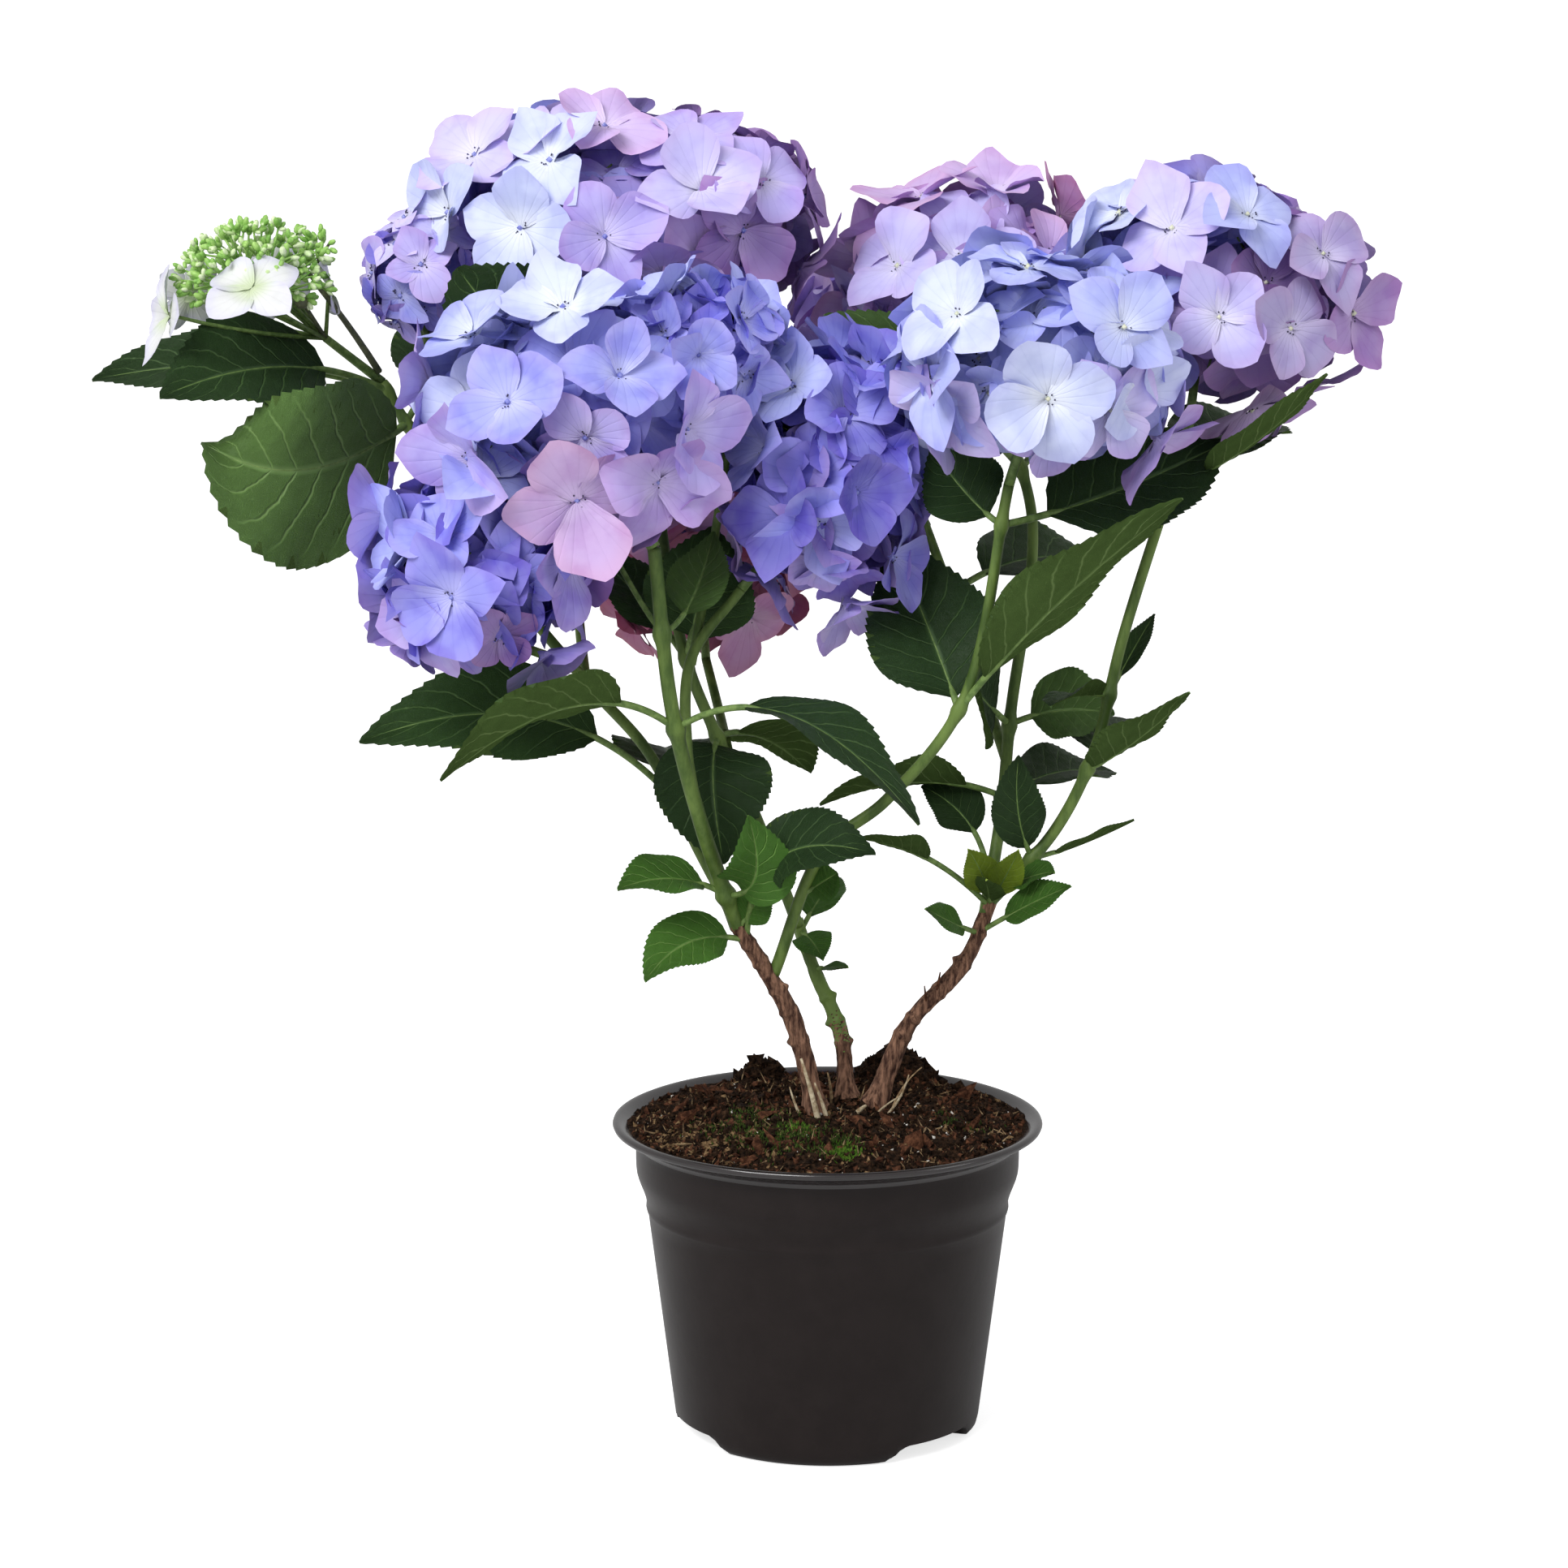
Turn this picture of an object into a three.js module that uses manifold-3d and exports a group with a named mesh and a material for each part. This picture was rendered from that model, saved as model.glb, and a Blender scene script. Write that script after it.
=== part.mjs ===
// A mophead hydrangea in a black nursery pot, in millimetres, +Z up.
// The origin is on the ground under the pot's axis, and -Y is the front.
// Three woody stems rise from the soil, green shoots grow on from them, each shoot carries
// pairs of opposite leaves that clasp it with a collar, and ends in a round head of florets.

import * as THREE from "three";
import { mergeVertices } from "three/addons/utils/BufferGeometryUtils.js";
import Module from "manifold-3d";

const wasm = await Module();
wasm.setup();

// Driving dimensions of the pot and its soil
const RIM_RADIUS = 95;
const POT_HEIGHT = 142;
const RIM_DEPTH = 8;
const COLLAR_TOP_RADIUS = 84.5;
const COLLAR_LOW_RADIUS = 81;
const COLLAR_DROP = 38;
const BODY_TOP_RADIUS = 79;
const BODY_LOW_RADIUS = 66.5;
const FOOT_RADIUS = 62;
const FOOT_ROUNDING = 6;
const WALL = 1.6;
const FLOOR = 2.2;
const POT_FACETS = 30;
const NOTCHES = 3;
const NOTCH_HALF_WIDTH = 29;
const NOTCH_HEIGHT = 7;
const NOTCH_INNER_RADIUS = 50;
const NOTCH_FIRST_ANGLE = -44;
const DRAIN_RADIUS = 4.5;
const DRAIN_RING_RADIUS = 40;
const DRAINS = 6;
const SOIL_AT_WALL = 134;
const SOIL_PAD_HEIGHT = 148;
const SOIL_PAD_RADIUS = 24;
const SOIL_PAD_X = 8;
const SOIL_LUMP = 5;
const BACK_MOUND = 8;

// Clearance between touching pieces, the distance at which two corners are one, and the share of
// a leaf's length that it is thick
const GAP = 0.4;
const WELD = 1e-3;
const LEAF_THICKNESS_SHARE = 0.018;

// Florets: radius of a full one, how far its sepals rise, and the angle between neighbours in a head
const FLORET_RADIUS = 27;
const FLORET_CUP = 6;
const FLORET_THICKNESS = 1.6;
const GOLDEN_ANGLE = Math.PI * (3 - Math.sqrt(5));

// Heads closer than this are parted by a plane
const HEAD_ROOM = 8;

const UP = new THREE.Vector3(0, 0, 1);
const DEGREE = Math.PI / 180;

const plastic = new THREE.MeshStandardMaterial({ color: 0x2a2829, roughness: 0.5, metalness: 0 });
const soilStuff = new THREE.MeshStandardMaterial({ color: 0x3a2a20, roughness: 0.95, metalness: 0 });
const bark = new THREE.MeshStandardMaterial({ color: 0x7a5544, roughness: 0.85, metalness: 0 });
const greenStem = new THREE.MeshStandardMaterial({ color: 0x6e9550, roughness: 0.6, metalness: 0 });
const leafGreen = new THREE.MeshStandardMaterial({ color: 0x2f5a30, roughness: 0.5, metalness: 0 });
const violet = new THREE.MeshStandardMaterial({ color: 0x8d86d8, roughness: 0.6, metalness: 0 });
const rose = new THREE.MeshStandardMaterial({ color: 0xc294cf, roughness: 0.6, metalness: 0 });
const paleBlue = new THREE.MeshStandardMaterial({ color: 0xb4b8ee, roughness: 0.6, metalness: 0 });
const budGreen = new THREE.MeshStandardMaterial({ color: 0x9fc862, roughness: 0.6, metalness: 0 });

// Facets of a limb, along it and round it
const LIMB_STEPS = 7;
const LIMB_SIDES = 6;

// The woody stems: where each leaves the soil, its bends and its tip, and its radii there.
const WOODY = {
  woody_stem_left: {
    route: [[-5, -13, SOIL_PAD_HEIGHT + GAP], [-15, -16, 190], [-27, -20, 214], [-41, -25, 237]],
    root: 5.6, tip: 3.9, nubs: [[0.35, 200], [0.62, 20], [0.78, 120]],
  },
  woody_stem_middle: {
    route: [[9, 12, SOIL_PAD_HEIGHT + GAP], [6, 16, 178], [-5, 22, 203], [-14, 28, 227]],
    root: 4.6, tip: 3.2, nubs: [[0.3, 330], [0.55, 10]],
  },
  woody_stem_right: {
    route: [[21, -3, SOIL_PAD_HEIGHT + GAP], [36, -4, 186], [60, -2, 213], [74, 4, 243]],
    root: 5.4, tip: 3.6, nubs: [[0.32, 100], [0.4, 85], [0.7, 190]],
  },
};

// The green shoots: each grows from a limb named in `from`, and ends under a head.
const SHOOTS = {
  shoot_front: {
    from: "woody_stem_left", root: 3.9, tip: 3.3,
    route: [[-40, -24, 235], [-56, -48, 288], [-68, -64, 342], [-75, -68, 411]],
  },
  shoot_far_left: {
    from: "woody_stem_left", root: 3, tip: 2.4,
    route: [[-35, -22, 227], [-56, -3, 263], [-80, 12, 307], [-106, 26, 334], [-152, 40, 389], [-198, 40, 469]],
  },
  shoot_crown: {
    from: "woody_stem_middle", root: 3, tip: 2.6,
    route: [[-13, 27, 224], [-33, 20, 278], [-52, 8, 321], [-65, 6, 358], [-84, 36, 482]],
  },
  shoot_middle: {
    from: "shoot_front", root: 2.9, tip: 2.5,
    route: [[-57, -48, 290], [-62, -30, 318], [-60, -20, 355], [-38, -22, 386]],
  },
  shoot_right: {
    from: "woody_stem_right", root: 3, tip: 2.6,
    route: [[72, 3, 240], [101, 4, 273], [118, 0, 310], [130, 2, 360], [158, 12, 449]],
  },
  shoot_rose: {
    from: "woody_stem_right", root: 3.2, tip: 2.6,
    route: [[70, 2, 235], [78, 26, 277], [82, 36, 318], [92, 56, 405], [78, 70, 452]],
  },
  shoot_pale: {
    from: "woody_stem_left", root: 3, tip: 2.6,
    route: [[-24, -19, 213], [-2, -34, 272], [25, -38, 295], [58, -46, 340], [77, -52, 436]],
  },
  shoot_front_low: {
    from: "shoot_far_left", root: 2.5, tip: 2.3,
    route: [[-100, 23, 328], [-112, 2, 346], [-134, -30, 362]],
  },
  shoot_middle_high: {
    from: "shoot_middle", root: 2.3, tip: 2.1,
    route: [[-60, -20, 352], [-51, -14, 400], [-42, -34, 463]],
  },
  shoot_crown_side: {
    from: "shoot_far_left", root: 2.2, tip: 2,
    route: [[-170, 41, 415], [-176, 42, 450], [-178, 42, 479]],
  },
  shoot_back_left: {
    from: "shoot_far_left", root: 2.7, tip: 2.4,
    route: [[-108, 28, 335], [-112, 70, 352], [-118, 122, 399]],
  },
  shoot_back_middle: {
    from: "shoot_crown", root: 2.6, tip: 2.3,
    route: [[-44, 13, 305], [-48, 46, 316], [-55, 74, 338]],
  },
  shoot_back_right: {
    from: "shoot_rose", root: 2.7, tip: 2.4,
    route: [[80, 32, 300], [64, 78, 346], [38, 126, 413]],
  },
};

// The heads of florets: centre, outer radii, number of florets, and the shoot that carries each.
const HEADS = {
  bloom_crown: { on: "shoot_crown", at: [-92, 55, 541], radii: [101, 70, 60], florets: 20, finish: violet },
  bloom_crown_side: { on: "shoot_crown_side", at: [-179, 40, 514], radii: [28, 28, 38], florets: 6, finish: violet },
  bloom_front_low: { on: "shoot_front_low", at: [-155, -60, 405], radii: [58, 54, 58], florets: 13, finish: violet },
  bloom_front: { on: "shoot_front", at: [-110, -58, 467], radii: [68, 58, 61], florets: 14, finish: violet },
  bloom_middle_high: { on: "shoot_middle_high", at: [-57, -48, 494], radii: [40, 37, 38], florets: 8, finish: violet },
  bloom_middle: { on: "shoot_middle", at: [0, -20, 434], radii: [48, 50, 71], florets: 12, finish: violet },
  bloom_rose: { on: "shoot_rose", at: [66, 78, 508], radii: [68, 55, 59], florets: 12, finish: rose },
  bloom_pale: { on: "shoot_pale", at: [91, -58, 486], radii: [71, 52, 53], florets: 12, finish: paleBlue },
  bloom_right: { on: "shoot_right", at: [178, 12, 512], radii: [68, 58, 62], florets: 14, finish: paleBlue },
  bloom_back_left: { on: "shoot_back_left", at: [-124, 150, 452], radii: [64, 56, 56], florets: 9, finish: violet },
  bloom_back_middle: { on: "shoot_back_middle", at: [-58, 86, 384], radii: [57, 46, 49], florets: 9, finish: rose },
  bloom_back_right: { on: "shoot_back_right", at: [30, 152, 462], radii: [56, 50, 50], florets: 8, finish: rose },
};

// The young head: a flat dome of green buds with a few white sepals and a bare side twig.
const YOUNG = {
  on: "shoot_far_left", at: [-253, 0, 518], radii: [38, 36, 27], buds: 9, budRadius: 7,
  sepals: [[-0.6, -0.8, -0.3, 17], [0.3, -0.85, 0.1, 18]],
  sideTwig: [[-226, 4, 531], [-216, 5, 541]], sideBuds: 3,
};

// Leaf pairs: the limb, how far along it they stand, and for each leaf its tip and width.
// `bend` carries the middle of the leaf aside, `face` is the way its upper side looks, and
// `stalk` is the share of its length without a blade.
const LEAF_PAIRS = {
  leaves_front_low: { on: "shoot_front", at: 0.1, leaves: [
    { tip: [-92, -55, 259], width: 34, bend: [0, 0, 12], face: [0, -0.35, 0.9] },
    { tip: [-35, -56, 292], width: 34, bend: [16, -8, -16], face: [0.2, -0.9, 0.3] }] },
  leaves_front_middle: { on: "shoot_front", at: 0.57, leaves: [
    { tip: [-165, -100, 315], width: 48, bend: [0, 0, 24], face: [-0.2, 0.5, 0.85], stalk: 0.3 },
    { tip: [40, -116, 297], width: 56, bend: [10, 0, 36], face: [0.5, -0.55, 0.7], stalk: 0.3 }] },
  leaves_front_high: { on: "shoot_front", at: 0.8, leaves: [
    { tip: [-112, -12, 412], width: 48, bend: [0, 0, -12], face: [0.3, -0.9, 0.2], stalk: 0.35 },
    { tip: [-34, -24, 400], width: 50, bend: [4, 0, -14], face: [-0.3, -0.9, 0.2], stalk: 0.35 }] },
  leaves_left_foot: { on: "woody_stem_left", at: 0.9, leaves: [
    { tip: [-80, -60, 219], width: 30, bend: [-8, 0, 16], face: [-0.3, -0.8, 0.5], stalk: 0.15 },
    { tip: [17, -75, 282], width: 44, bend: [-24, 0, 34], face: [0.2, -0.6, 0.8], stalk: 0.45 }] },
  leaves_far_left_low: { on: "shoot_far_left", at: 0.24, leaves: [
    { tip: [-206, -24, 317], width: 50, bend: [0, 0, 24], face: [-0.1, -0.45, 0.9], stalk: 0.3 },
    { tip: [-76, 94, 290], width: 50, bend: [0, 0, 24] }] },
  leaves_far_left_middle: { on: "shoot_far_left", at: 0.66, leaves: [
    { tip: [-212, 96, 398], width: 60, bend: [0, 0, 20] },
    { tip: [-82, 98, 424], width: 54, bend: [0, 0, 16] }] },
  leaves_far_left_top: { on: "shoot_far_left", at: 0.93, leaves: [
    { tip: [-266, -56, 436], width: 88, bend: [10, -10, -36], face: [0.1, -0.9, 0.4], stalk: 0.1 },
    { tip: [-150, 104, 478], width: 60, bend: [0, 0, 20] }] },
  leaves_far_left_end: { on: "shoot_far_left", at: 0.985, leaves: [
    { tip: [-288, -40, 472], width: 56, bend: [0, 0, 24], face: [-0.2, -0.8, 0.5], stalk: 0.3 },
    { tip: [-326, 30, 471], width: 46, bend: [0, 0, 18], face: [0, -0.5, 0.85], stalk: 0.3 }] },
  leaves_crown_low: { on: "shoot_crown", at: 0.36, leaves: [
    { tip: [-50, -15, 267], width: 54, bend: [-3, -22, 14], face: [0, -0.95, 0.2], stalk: 0.14 },
    { tip: [-7, 42, 292], width: 48, bend: [0, 0, 16], face: [0.1, 0.5, 0.85] }] },
  leaves_crown_middle: { on: "shoot_crown", at: 0.5, leaves: [
    { tip: [-50, -10, 412], width: 50, bend: [0, -8, 0], face: [0, -0.9, 0.3], stalk: 0.2 },
    { tip: [-104, 34, 392], width: 40, bend: [0, 0, 8] }] },
  leaves_crown_high: { on: "shoot_crown", at: 0.84, leaves: [
    { tip: [-170, 0, 502], width: 64, bend: [0, 0, 20], face: [-0.2, -0.8, 0.5] },
    { tip: [-30, 122, 476], width: 56, bend: [0, 0, 18] }] },
  leaves_middle_foot: { on: "woody_stem_middle", at: 0.93, leaves: [
    { tip: [-2, 4, 214], width: 18, bend: [0, 0, 4], face: [0, -0.6, 0.8] },
    { tip: [6, 58, 240], width: 22, bend: [0, 0, 6] }] },
  leaves_pale_middle: { on: "shoot_pale", at: 0.6, leaves: [
    { tip: [23, 0, 395], width: 62, bend: [8, 0, 4], face: [0.1, -0.95, 0.25], stalk: 0.12 },
    { tip: [149, -90, 436], width: 58, bend: [0, 0, -6], face: [-0.5, 0.6, 0.6], stalk: 0.16 }] },
  leaves_pale_high: { on: "shoot_pale", at: 0.93, leaves: [
    { tip: [44, -30, 449], width: 38, bend: [0, 0, -6], face: [-0.2, -0.7, 0.7], stalk: 0.2 },
    { tip: [173, 0, 437], width: 66, bend: [0, 0, -12], face: [0, -0.65, 0.75] }] },
  leaves_rose_low: { on: "shoot_rose", at: 0.24, leaves: [
    { tip: [-4, 8, 284], width: 42, bend: [0, 0, 18], face: [0, 0.45, 0.85] },
    { tip: [132, 70, 286], width: 42, bend: [0, 0, 12] }] },
  leaves_rose_middle: { on: "shoot_rose", at: 0.38, leaves: [
    { tip: [62, -14, 346], width: 50, bend: [-8, 0, 4], face: [0, -0.85, 0.5] },
    { tip: [129, 34, 320], width: 44, bend: [0, 0, 8], face: [0.1, -0.6, 0.8] }] },
  leaves_rose_high: { on: "shoot_rose", at: 0.88, leaves: [
    { tip: [26, 30, 470], width: 44, bend: [0, 0, -8], face: [-0.3, -0.8, 0.5] },
    { tip: [128, 140, 436], width: 60, bend: [0, 0, 16] }] },
  leaves_right_low: { on: "shoot_right", at: 0.12, leaves: [
    { tip: [137, 20, 275], width: 15, bend: [0, 0, -3], face: [0, 0.4, 0.9] },
    { tip: [85, -12, 306], width: 32, bend: [-7, -4, 0], face: [0, -0.95, 0.2], stalk: 0.15 }] },
  leaves_right_middle: { on: "shoot_right", at: 0.33, leaves: [
    { tip: [157, -36, 343], width: 40, bend: [0, 0, -6], face: [-0.6, 0.6, 0.45], stalk: 0.06 },
    { tip: [136, 66, 312], width: 38, bend: [0, 0, 8] }] },
  leaves_right_upper: { on: "shoot_right", at: 0.48, leaves: [
    { tip: [97, -28, 335], width: 30, bend: [-6, 0, 5], face: [0.1, 0.5, 0.8], stalk: 0.1 },
    { tip: [146, 32, 366], width: 12, bend: [0, 0, 2] }] },
  leaves_right_high: { on: "shoot_right", at: 0.9, leaves: [
    { tip: [216, -30, 478], width: 40, bend: [4, 0, -8], face: [-0.3, 0.35, 0.9] },
    { tip: [204, 78, 444], width: 56, bend: [0, 0, 16] }] },
  leaves_right_foot: { on: "woody_stem_right", at: 0.84, leaves: [
    { tip: [43, -30, 245], width: 16, bend: [0, 0, -2], face: [0, -0.7, 0.6], stalk: 0.3 },
    { tip: [107, -20, 253], width: 20, bend: [0, 0, 2], face: [0.1, -0.6, 0.7], stalk: 0.3 }] },
  leaves_right_fork: { on: "woody_stem_right", at: 0.955, leaves: [
    { tip: [13, -30, 277], width: 26, bend: [0, 0, 14], face: [0, 0.3, 0.9], stalk: 0.5 },
    { tip: [72, 56, 281], width: 34, bend: [-18, 6, 10], face: [0, -0.7, 0.7], stalk: 0.4 }] },
  leaves_back_left: { on: "shoot_back_left", at: 0.55, leaves: [
    { tip: [-172, 108, 366], width: 60, bend: [0, 0, 20] },
    { tip: [-66, 158, 356], width: 56, bend: [0, 0, 16] }] },
  leaves_back_right: { on: "shoot_back_right", at: 0.6, leaves: [
    { tip: [-10, 130, 392], width: 58, bend: [0, 0, 18] },
    { tip: [132, 132, 372], width: 60, bend: [0, 0, 20] }] },
};

// Vectors and seeded chance

const vec = (p) => new THREE.Vector3(...p);

// A number from 0 to 1 that depends only on the seed and the count.
function chance(seed, count) {
  const value = Math.sin(seed * 12.9898 + count * 78.233) * 43758.5453;
  return value - Math.floor(value);
}

// Solids and booleans

// A closed three.js geometry as a solid that can be joined and cut.
function solidOf(geometry) {
  const bare = new THREE.BufferGeometry();
  bare.setAttribute("position", geometry.getAttribute("position"));
  if (geometry.index) bare.setIndex(geometry.index);
  const merged = mergeVertices(bare, WELD);
  return new wasm.Manifold(new wasm.Mesh({
    numProp: 3,
    vertProperties: new Float32Array(merged.attributes.position.array),
    triVerts: new Uint32Array(merged.index.array),
  }));
}

const joined = (solids) => solids.slice(1).reduce((all, next) => all.add(next), solids[0]);

// The solid's largest body: a cut can leave loose scraps, which are dropped.
function largest(solid) {
  return solid.decompose().reduce((best, body) => (body.volume() > best.volume() ? body : best));
}

// The solid with its corners welded, free of scraps and hollows that hang on by a single edge.
function welded(solid) {
  const rebuilt = solidOf(geometryOf(solid));
  return rebuilt.decompose().length === 1 ? rebuilt : welded(largest(rebuilt));
}

function geometryOf(solid) {
  const { numProp, numVert, vertProperties, triVerts } = solid.getMesh();
  const positions = new Float32Array(numVert * 3);
  for (let n = 0; n < numVert; n += 1) {
    positions.set(vertProperties.subarray(n * numProp, n * numProp + 3), n * 3);
  }
  const geometry = new THREE.BufferGeometry();
  geometry.setAttribute("position", new THREE.BufferAttribute(positions, 3));
  geometry.setIndex(new THREE.BufferAttribute(new Uint32Array(triVerts), 1));
  return geometry;
}

const boxOf = (solid) => {
  const { min, max } = solid.boundingBox();
  return new THREE.Box3(vec(min), vec(max));
};

// A surface through rings of points, closed at both ends by a fan.
function loft(rings) {
  const sides = rings[0].length;
  const points = rings.flat();
  const faces = [];
  for (let r = 0; r + 1 < rings.length; r += 1) {
    for (let s = 0; s < sides; s += 1) {
      const a = r * sides + s;
      const b = r * sides + ((s + 1) % sides);
      faces.push(a, b, b + sides, a, b + sides, a + sides);
    }
  }
  const last = (rings.length - 1) * sides;
  for (let s = 1; s + 1 < sides; s += 1) {
    faces.push(0, s + 1, s, last, last + s, last + s + 1);
  }
  const geometry = new THREE.BufferGeometry().setFromPoints(points);
  geometry.setIndex(faces);
  return geometry;
}

// Limbs

const ALL_LIMBS = { ...WOODY, ...SHOOTS };
const curves = Object.fromEntries(Object.entries(ALL_LIMBS).map(
  ([name, limb]) => [name, new THREE.CatmullRomCurve3(limb.route.map(vec), false, "centripetal")],
));

// The limb's radius at a share of its length. Woody stems flare over their first tenth.
function limbRadius(name, share) {
  const limb = ALL_LIMBS[name];
  const flare = name in WOODY ? 2.2 * Math.max(0, 1 - share / 0.12) ** 2 : 0;
  return THREE.MathUtils.lerp(limb.root, limb.tip, share) + flare;
}

// A stretch of a limb as a tapered tube, `grow` millimetres fatter than the limb itself.
function limbTube(name, { from = 0, to = 1, grow = 0, steps = LIMB_STEPS, sides = LIMB_SIDES } = {}) {
  const rings = [];
  for (let n = 0; n <= steps; n += 1) {
    const share = THREE.MathUtils.lerp(from, to, n / steps);
    const centre = curves[name].getPointAt(share);
    const along = curves[name].getTangentAt(share);
    if (share === 0 && name in WOODY) along.copy(UP);
    const beyondEnd = Math.min(grow, GAP) * (n === 0 ? -1 : n === steps ? 1 : 0);
    centre.addScaledVector(along, beyondEnd);
    const right = new THREE.Vector3(0, 1, 0).cross(along).normalize();
    const over = along.clone().cross(right);
    const radius = limbRadius(name, share) + grow;
    rings.push(Array.from({ length: sides }, (_, s) => {
      const angle = (2 * Math.PI * s) / sides;
      return centre.clone()
        .addScaledVector(right, radius * Math.cos(angle))
        .addScaledVector(over, radius * Math.sin(angle));
    }));
  }
  return solidOf(loft(rings));
}

// The limb grown by the clearance, which cuts whatever comes near the limb.
const limbSpace = (name) => limbTube(name, { grow: GAP });

// A bud scar: a small cone that stands out of a woody stem at a share of its length.
function budScar(name, [share, turn]) {
  const height = 4.5;
  const scar = new THREE.ConeGeometry(1.7, height, 4).translate(0, height / 2, 0);
  const out = new THREE.Vector3(Math.cos(turn * DEGREE), Math.sin(turn * DEGREE), 0.7).normalize();
  const seat = curves[name].getPointAt(share).addScaledVector(out, limbRadius(name, share) - 1);
  scar.applyQuaternion(new THREE.Quaternion().setFromUnitVectors(new THREE.Vector3(0, 1, 0), out));
  return solidOf(scar.translate(seat.x, seat.y, seat.z));
}

function woodyStem(name) {
  const scars = WOODY[name].nubs.map((nub) => budScar(name, nub));
  return joined([limbTube(name), ...scars]);
}


// Leaves

// Half the blade's width at a share of its length: widest before the middle, with a drawn-out tip.
const bladeHalfWidth = (width, share) => (width / 2) * Math.sin(Math.PI * share ** 0.78) ** 0.9;

// One leaf as a loft of four-sided rings: stalk first, then a blade folded along its midrib.
// `grow` makes it bigger all round, as the space that it keeps.
function leaf(root, { tip, width, bend, face = [0, -0.25, 1], stalk = 0.22 }, grow = 0) {
  const end = vec(tip);
  const length = root.distanceTo(end);
  end.lerp(root, (-3 * grow) / length);
  const path = new THREE.QuadraticBezierCurve3(root, root.clone().lerp(end, 0.45).add(vec(bend)), end);
  const thick = Math.max(1.4, length * LEAF_THICKNESS_SHARE);
  const stations = [0, stalk, ...[0.16, 0.45, 0.78, 1].map((s) => stalk + (1 - stalk) * s)];
  const rings = stations.map((share) => {
    const centre = path.getPoint(share);
    const along = path.getTangent(share).normalize();
    const onBlade = Math.max(0, (share - stalk) / (1 - stalk));
    const upper = vec(face);
    upper.addScaledVector(along, -upper.dot(along)).normalize();
    const side = upper.clone().cross(along);
    const half = share === 1 ? 0.5 : onBlade > 0 ? bladeHalfWidth(width, onBlade) : 1.5;
    const deep = share === 1 ? 0.5 : onBlade > 0 ? thick / 2 : 1.5;
    const raised = onBlade > 0 ? half * 0.22 : 0;
    const wide = half + 4 * grow;
    return [
      centre.clone().addScaledVector(side, wide).addScaledVector(upper, raised),
      centre.clone().addScaledVector(upper, deep + 1.3 * grow),
      centre.clone().addScaledVector(side, -wide).addScaledVector(upper, raised),
      centre.clone().addScaledVector(upper, -deep - 1.3 * grow),
    ];
  });
  return solidOf(loft(rings));
}

// Two opposite leaves on a collar that clasps the limb.
function leafPair({ on, at, leaves }, grow = 0) {
  const half = (2.5 + grow) / curves[on].getLength();
  const root = curves[on].getPointAt(at);
  const collar = limbTube(on, { from: at - half, to: Math.min(1, at + half), grow: 2.2 + grow, steps: 1 });
  return joined([collar, ...leaves.map((one) => leaf(root, one, grow))]);
}

// Flower heads

// One floret: four broad sepals that rise from a shallow centre, over a stalk rooted `deep` below.
function floret(centre, outward, spin, radius, cup, deep) {
  const turn = new THREE.Quaternion().setFromUnitVectors(UP, outward);
  const place = (angle, reach, rise) => new THREE.Vector3(
    reach * Math.cos(angle), reach * Math.sin(angle), rise,
  ).applyQuaternion(turn).add(centre);
  const outline = [];
  for (let sepal = 0; sepal < 4; sepal += 1) {
    const middle = spin + (sepal * Math.PI) / 2;
    outline.push(place(middle, radius, cup));
    outline.push(place(middle + Math.PI / 4, radius * 0.6, cup * 0.4));
  }
  const top = outline.length;
  const points = [...outline, place(0, 0, FLORET_THICKNESS / 2), place(0, 0, -deep)];
  const faces = outline.flatMap((_, n) => {
    const next = (n + 1) % outline.length;
    return [n, next, top, next, n, top + 1];
  });
  const geometry = new THREE.BufferGeometry().setFromPoints(points);
  geometry.setIndex(faces);
  return solidOf(geometry);
}

function ball(centre, radii, detail) {
  return solidOf(new THREE.IcosahedronGeometry(1, detail).scale(...radii).translate(...centre));
}

// How far the ellipsoid reaches from its centre in a direction.
function reachOf(radii, way) {
  return 1 / Math.hypot(way.x / radii[0], way.y / radii[1], way.z / radii[2]);
}

// The planes that part a head from the heads it crowds: a point on each, and the way out.
function partings(name) {
  const { at, radii } = HEADS[name];
  return Object.entries(HEADS).filter(([other]) => other !== name).flatMap(([, other]) => {
    const way = vec(other.at).sub(vec(at));
    const apart = way.length();
    way.normalize();
    const mine = reachOf(radii, way);
    const theirs = reachOf(other.radii, way);
    if (mine + theirs + HEAD_ROOM < apart) return [];
    const share = (apart * mine) / (mine + theirs) - GAP;
    return [{ point: vec(at).addScaledVector(way, share), way }];
  });
}

// All the space beyond a parting plane, as a block.
function beyond({ point, way }) {
  const size = 500;
  const block = new THREE.BoxGeometry(size, size, size).translate(0, 0, size / 2);
  block.applyQuaternion(new THREE.Quaternion().setFromUnitVectors(UP, way));
  return solidOf(block.translate(point.x, point.y, point.z));
}

// The stem inside a head, from just beyond its shoot's tip to the head's middle.
function headStem(on, centre) {
  const tip = curves[on].getPointAt(1);
  const along = curves[on].getTangentAt(1);
  const start = tip.clone().addScaledVector(along, GAP);
  const rings = [start, start.clone().lerp(centre, 0.6)].map((middle) => {
    const right = new THREE.Vector3(0, 1, 0).cross(along).normalize();
    const over = along.clone().cross(right);
    return Array.from({ length: 5 }, (_, s) => {
      const angle = (2 * Math.PI * s) / 5;
      return middle.clone()
        .addScaledVector(right, ALL_LIMBS[on].tip * Math.cos(angle))
        .addScaledVector(over, ALL_LIMBS[on].tip * Math.sin(angle));
    });
  });
  return solidOf(loft(rings));
}

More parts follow.
